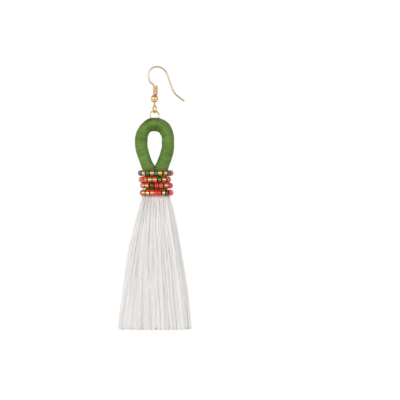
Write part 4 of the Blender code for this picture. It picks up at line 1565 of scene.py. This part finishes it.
def add_soft_light(name, place, target, size, power):
    lamp = bpy.data.lights.new(name, "AREA")
    lamp.size = size
    lamp.energy = power
    obj = bpy.data.objects.new(name, lamp)
    bpy.context.scene.collection.objects.link(obj)
    aim_at(obj, place, target)


def aim_at(obj, place, target):
    obj.location = place
    obj.rotation_mode = "QUATERNION"
    obj.rotation_quaternion = (Vector(target) - Vector(place)).to_track_quat("-Z", "Y")


def add_world(settings):
    """White to the camera; to everything else as bright as the product of the ramps in the table."""
    world = bpy.data.worlds.new("studio")
    bpy.context.scene.world = world
    world.use_nodes = True
    tree = world.node_tree
    tree.nodes.clear()
    direction = add_node(tree, "ShaderNodeTexCoord").outputs["Generated"]
    parts = add_node(tree, "ShaderNodeSeparateXYZ", {0: direction}).outputs
    strength = settings.ambient
    for axis, *ends in WORLD_RAMPS:
        strength = math_node(tree, "MULTIPLY", map_range(tree, parts[axis], *ends), strength)
    around = add_node(tree, "ShaderNodeBackground", {"Color": (1, 1, 1, 1), "Strength": strength})
    seen = add_node(tree, "ShaderNodeBackground", {"Color": (1, 1, 1, 1), "Strength": 1.0})
    camera_ray = add_node(tree, "ShaderNodeLightPath").outputs["Is Camera Ray"]
    mix = add_node(tree, "ShaderNodeMixShader", {0: camera_ray, 1: around.outputs[0], 2: seen.outputs[0]})
    output = add_node(tree, "ShaderNodeOutputWorld")
    tree.links.new(mix.outputs[0], output.inputs[0])


def add_floor():
    """A pale round floor well below the fringe, lit enough from itself to stay white."""
    radius = np.array((0.002, FLOOR_RADIUS, FLOOR_RADIUS, 0.002))
    drop = np.array((0.0, 0.0, FLOOR_THICKNESS, FLOOR_THICKNESS))
    foot = (FRINGE_FOOT - FLOOR_GAP) * UP
    rings = HANG_LINE + foot + radius[:, None, None] * level_ray(loop_angles(96)) - drop[:, None, None] * UP
    constants = {"Base Color": (0.8, 0.8, 0.8, 1), "Roughness": 0.9, "Emission Color": (1, 1, 1, 1)}
    constants["Emission Strength"] = 0.35
    material = new_material("floor_card", constants)[0]
    add_surface("floor", rings[None], material)


class EARRING_OT_stage(bpy.types.Operator):
    """Camera at the photograph's distance, pale surroundings, soft lights and a plain floor."""

    bl_idname = "earring.stage"
    bl_label = "Stage"

    def execute(self, context):
        settings = context.scene.earring.stage
        add_world(settings)
        add_floor()
        middle = (HANG_LINE[0], 0.0, AIM_HEIGHT)
        add_soft_light("key", (-0.34, -0.62, 0.16), middle, 0.25, settings.key_power)
        add_soft_light("fill", (0.38, -0.60, 0.04), middle, 0.25, settings.key_power * 0.55)
        camera = bpy.data.cameras.new("camera")
        camera.lens = CAMERA_LENS
        camera.clip_start = 0.01
        obj = bpy.data.objects.new("camera", camera)
        context.scene.collection.objects.link(obj)
        aim_at(obj, (AIM_ACROSS, -CAMERA_DISTANCE, AIM_HEIGHT), (AIM_ACROSS, 0.0, AIM_HEIGHT))
        context.scene.camera = obj
        context.scene.view_settings.view_transform = "Standard"
        return {"FINISHED"}


class EARRING_PT_panel(bpy.types.Panel):
    """Lists the pieces and their settings."""

    bl_idname = "EARRING_PT_panel"
    bl_label = "Tassel Earring"
    bl_space_type = "VIEW_3D"
    bl_region_type = "UI"
    bl_category = "Earring"

    def draw(self, context):
        for group, operators in PANEL_ROWS.items():
            box = self.layout.box()
            settings = getattr(context.scene.earring, group)
            for key in settings.bl_rna.properties.keys():
                if key not in ("rna_type", "name"):
                    box.prop(settings, key)
            for operator in operators:
                box.operator(operator.bl_idname)


PANEL_ROWS = {
    "hook": (EARRING_OT_ear_wire, EARRING_OT_hook_coil, EARRING_OT_hook_ball),
    "ring": (EARRING_OT_jump_ring,),
    "cord": (EARRING_OT_cord_loop, EARRING_OT_ring_threads, EARRING_OT_neck_binding),
    "beads": (EARRING_OT_bead_string,),
    "fringe": (EARRING_OT_fringe,),
    "stage": (EARRING_OT_stage,),
}
SETTINGS = (
    HookSettings, RingSettings, CordSettings, BeadSettings, FringeSettings, StageSettings, EarringSettings,
)
OPERATORS = tuple(operator for operators in PANEL_ROWS.values() for operator in operators)


def register():
    for cls in (*SETTINGS, *OPERATORS, EARRING_PT_panel):
        bpy.utils.register_class(cls)
    bpy.types.Scene.earring = bpy.props.PointerProperty(
        name="Earring", description="Settings of the tassel earring", type=EarringSettings
    )


def unregister():
    del bpy.types.Scene.earring
    for cls in reversed((*SETTINGS, *OPERATORS, EARRING_PT_panel)):
        bpy.utils.unregister_class(cls)


def main():
    register()
    for operator in OPERATORS:
        group, name = operator.bl_idname.split(".")
        getattr(getattr(bpy.ops, group), name)()


if __name__ == "__main__":
    main()
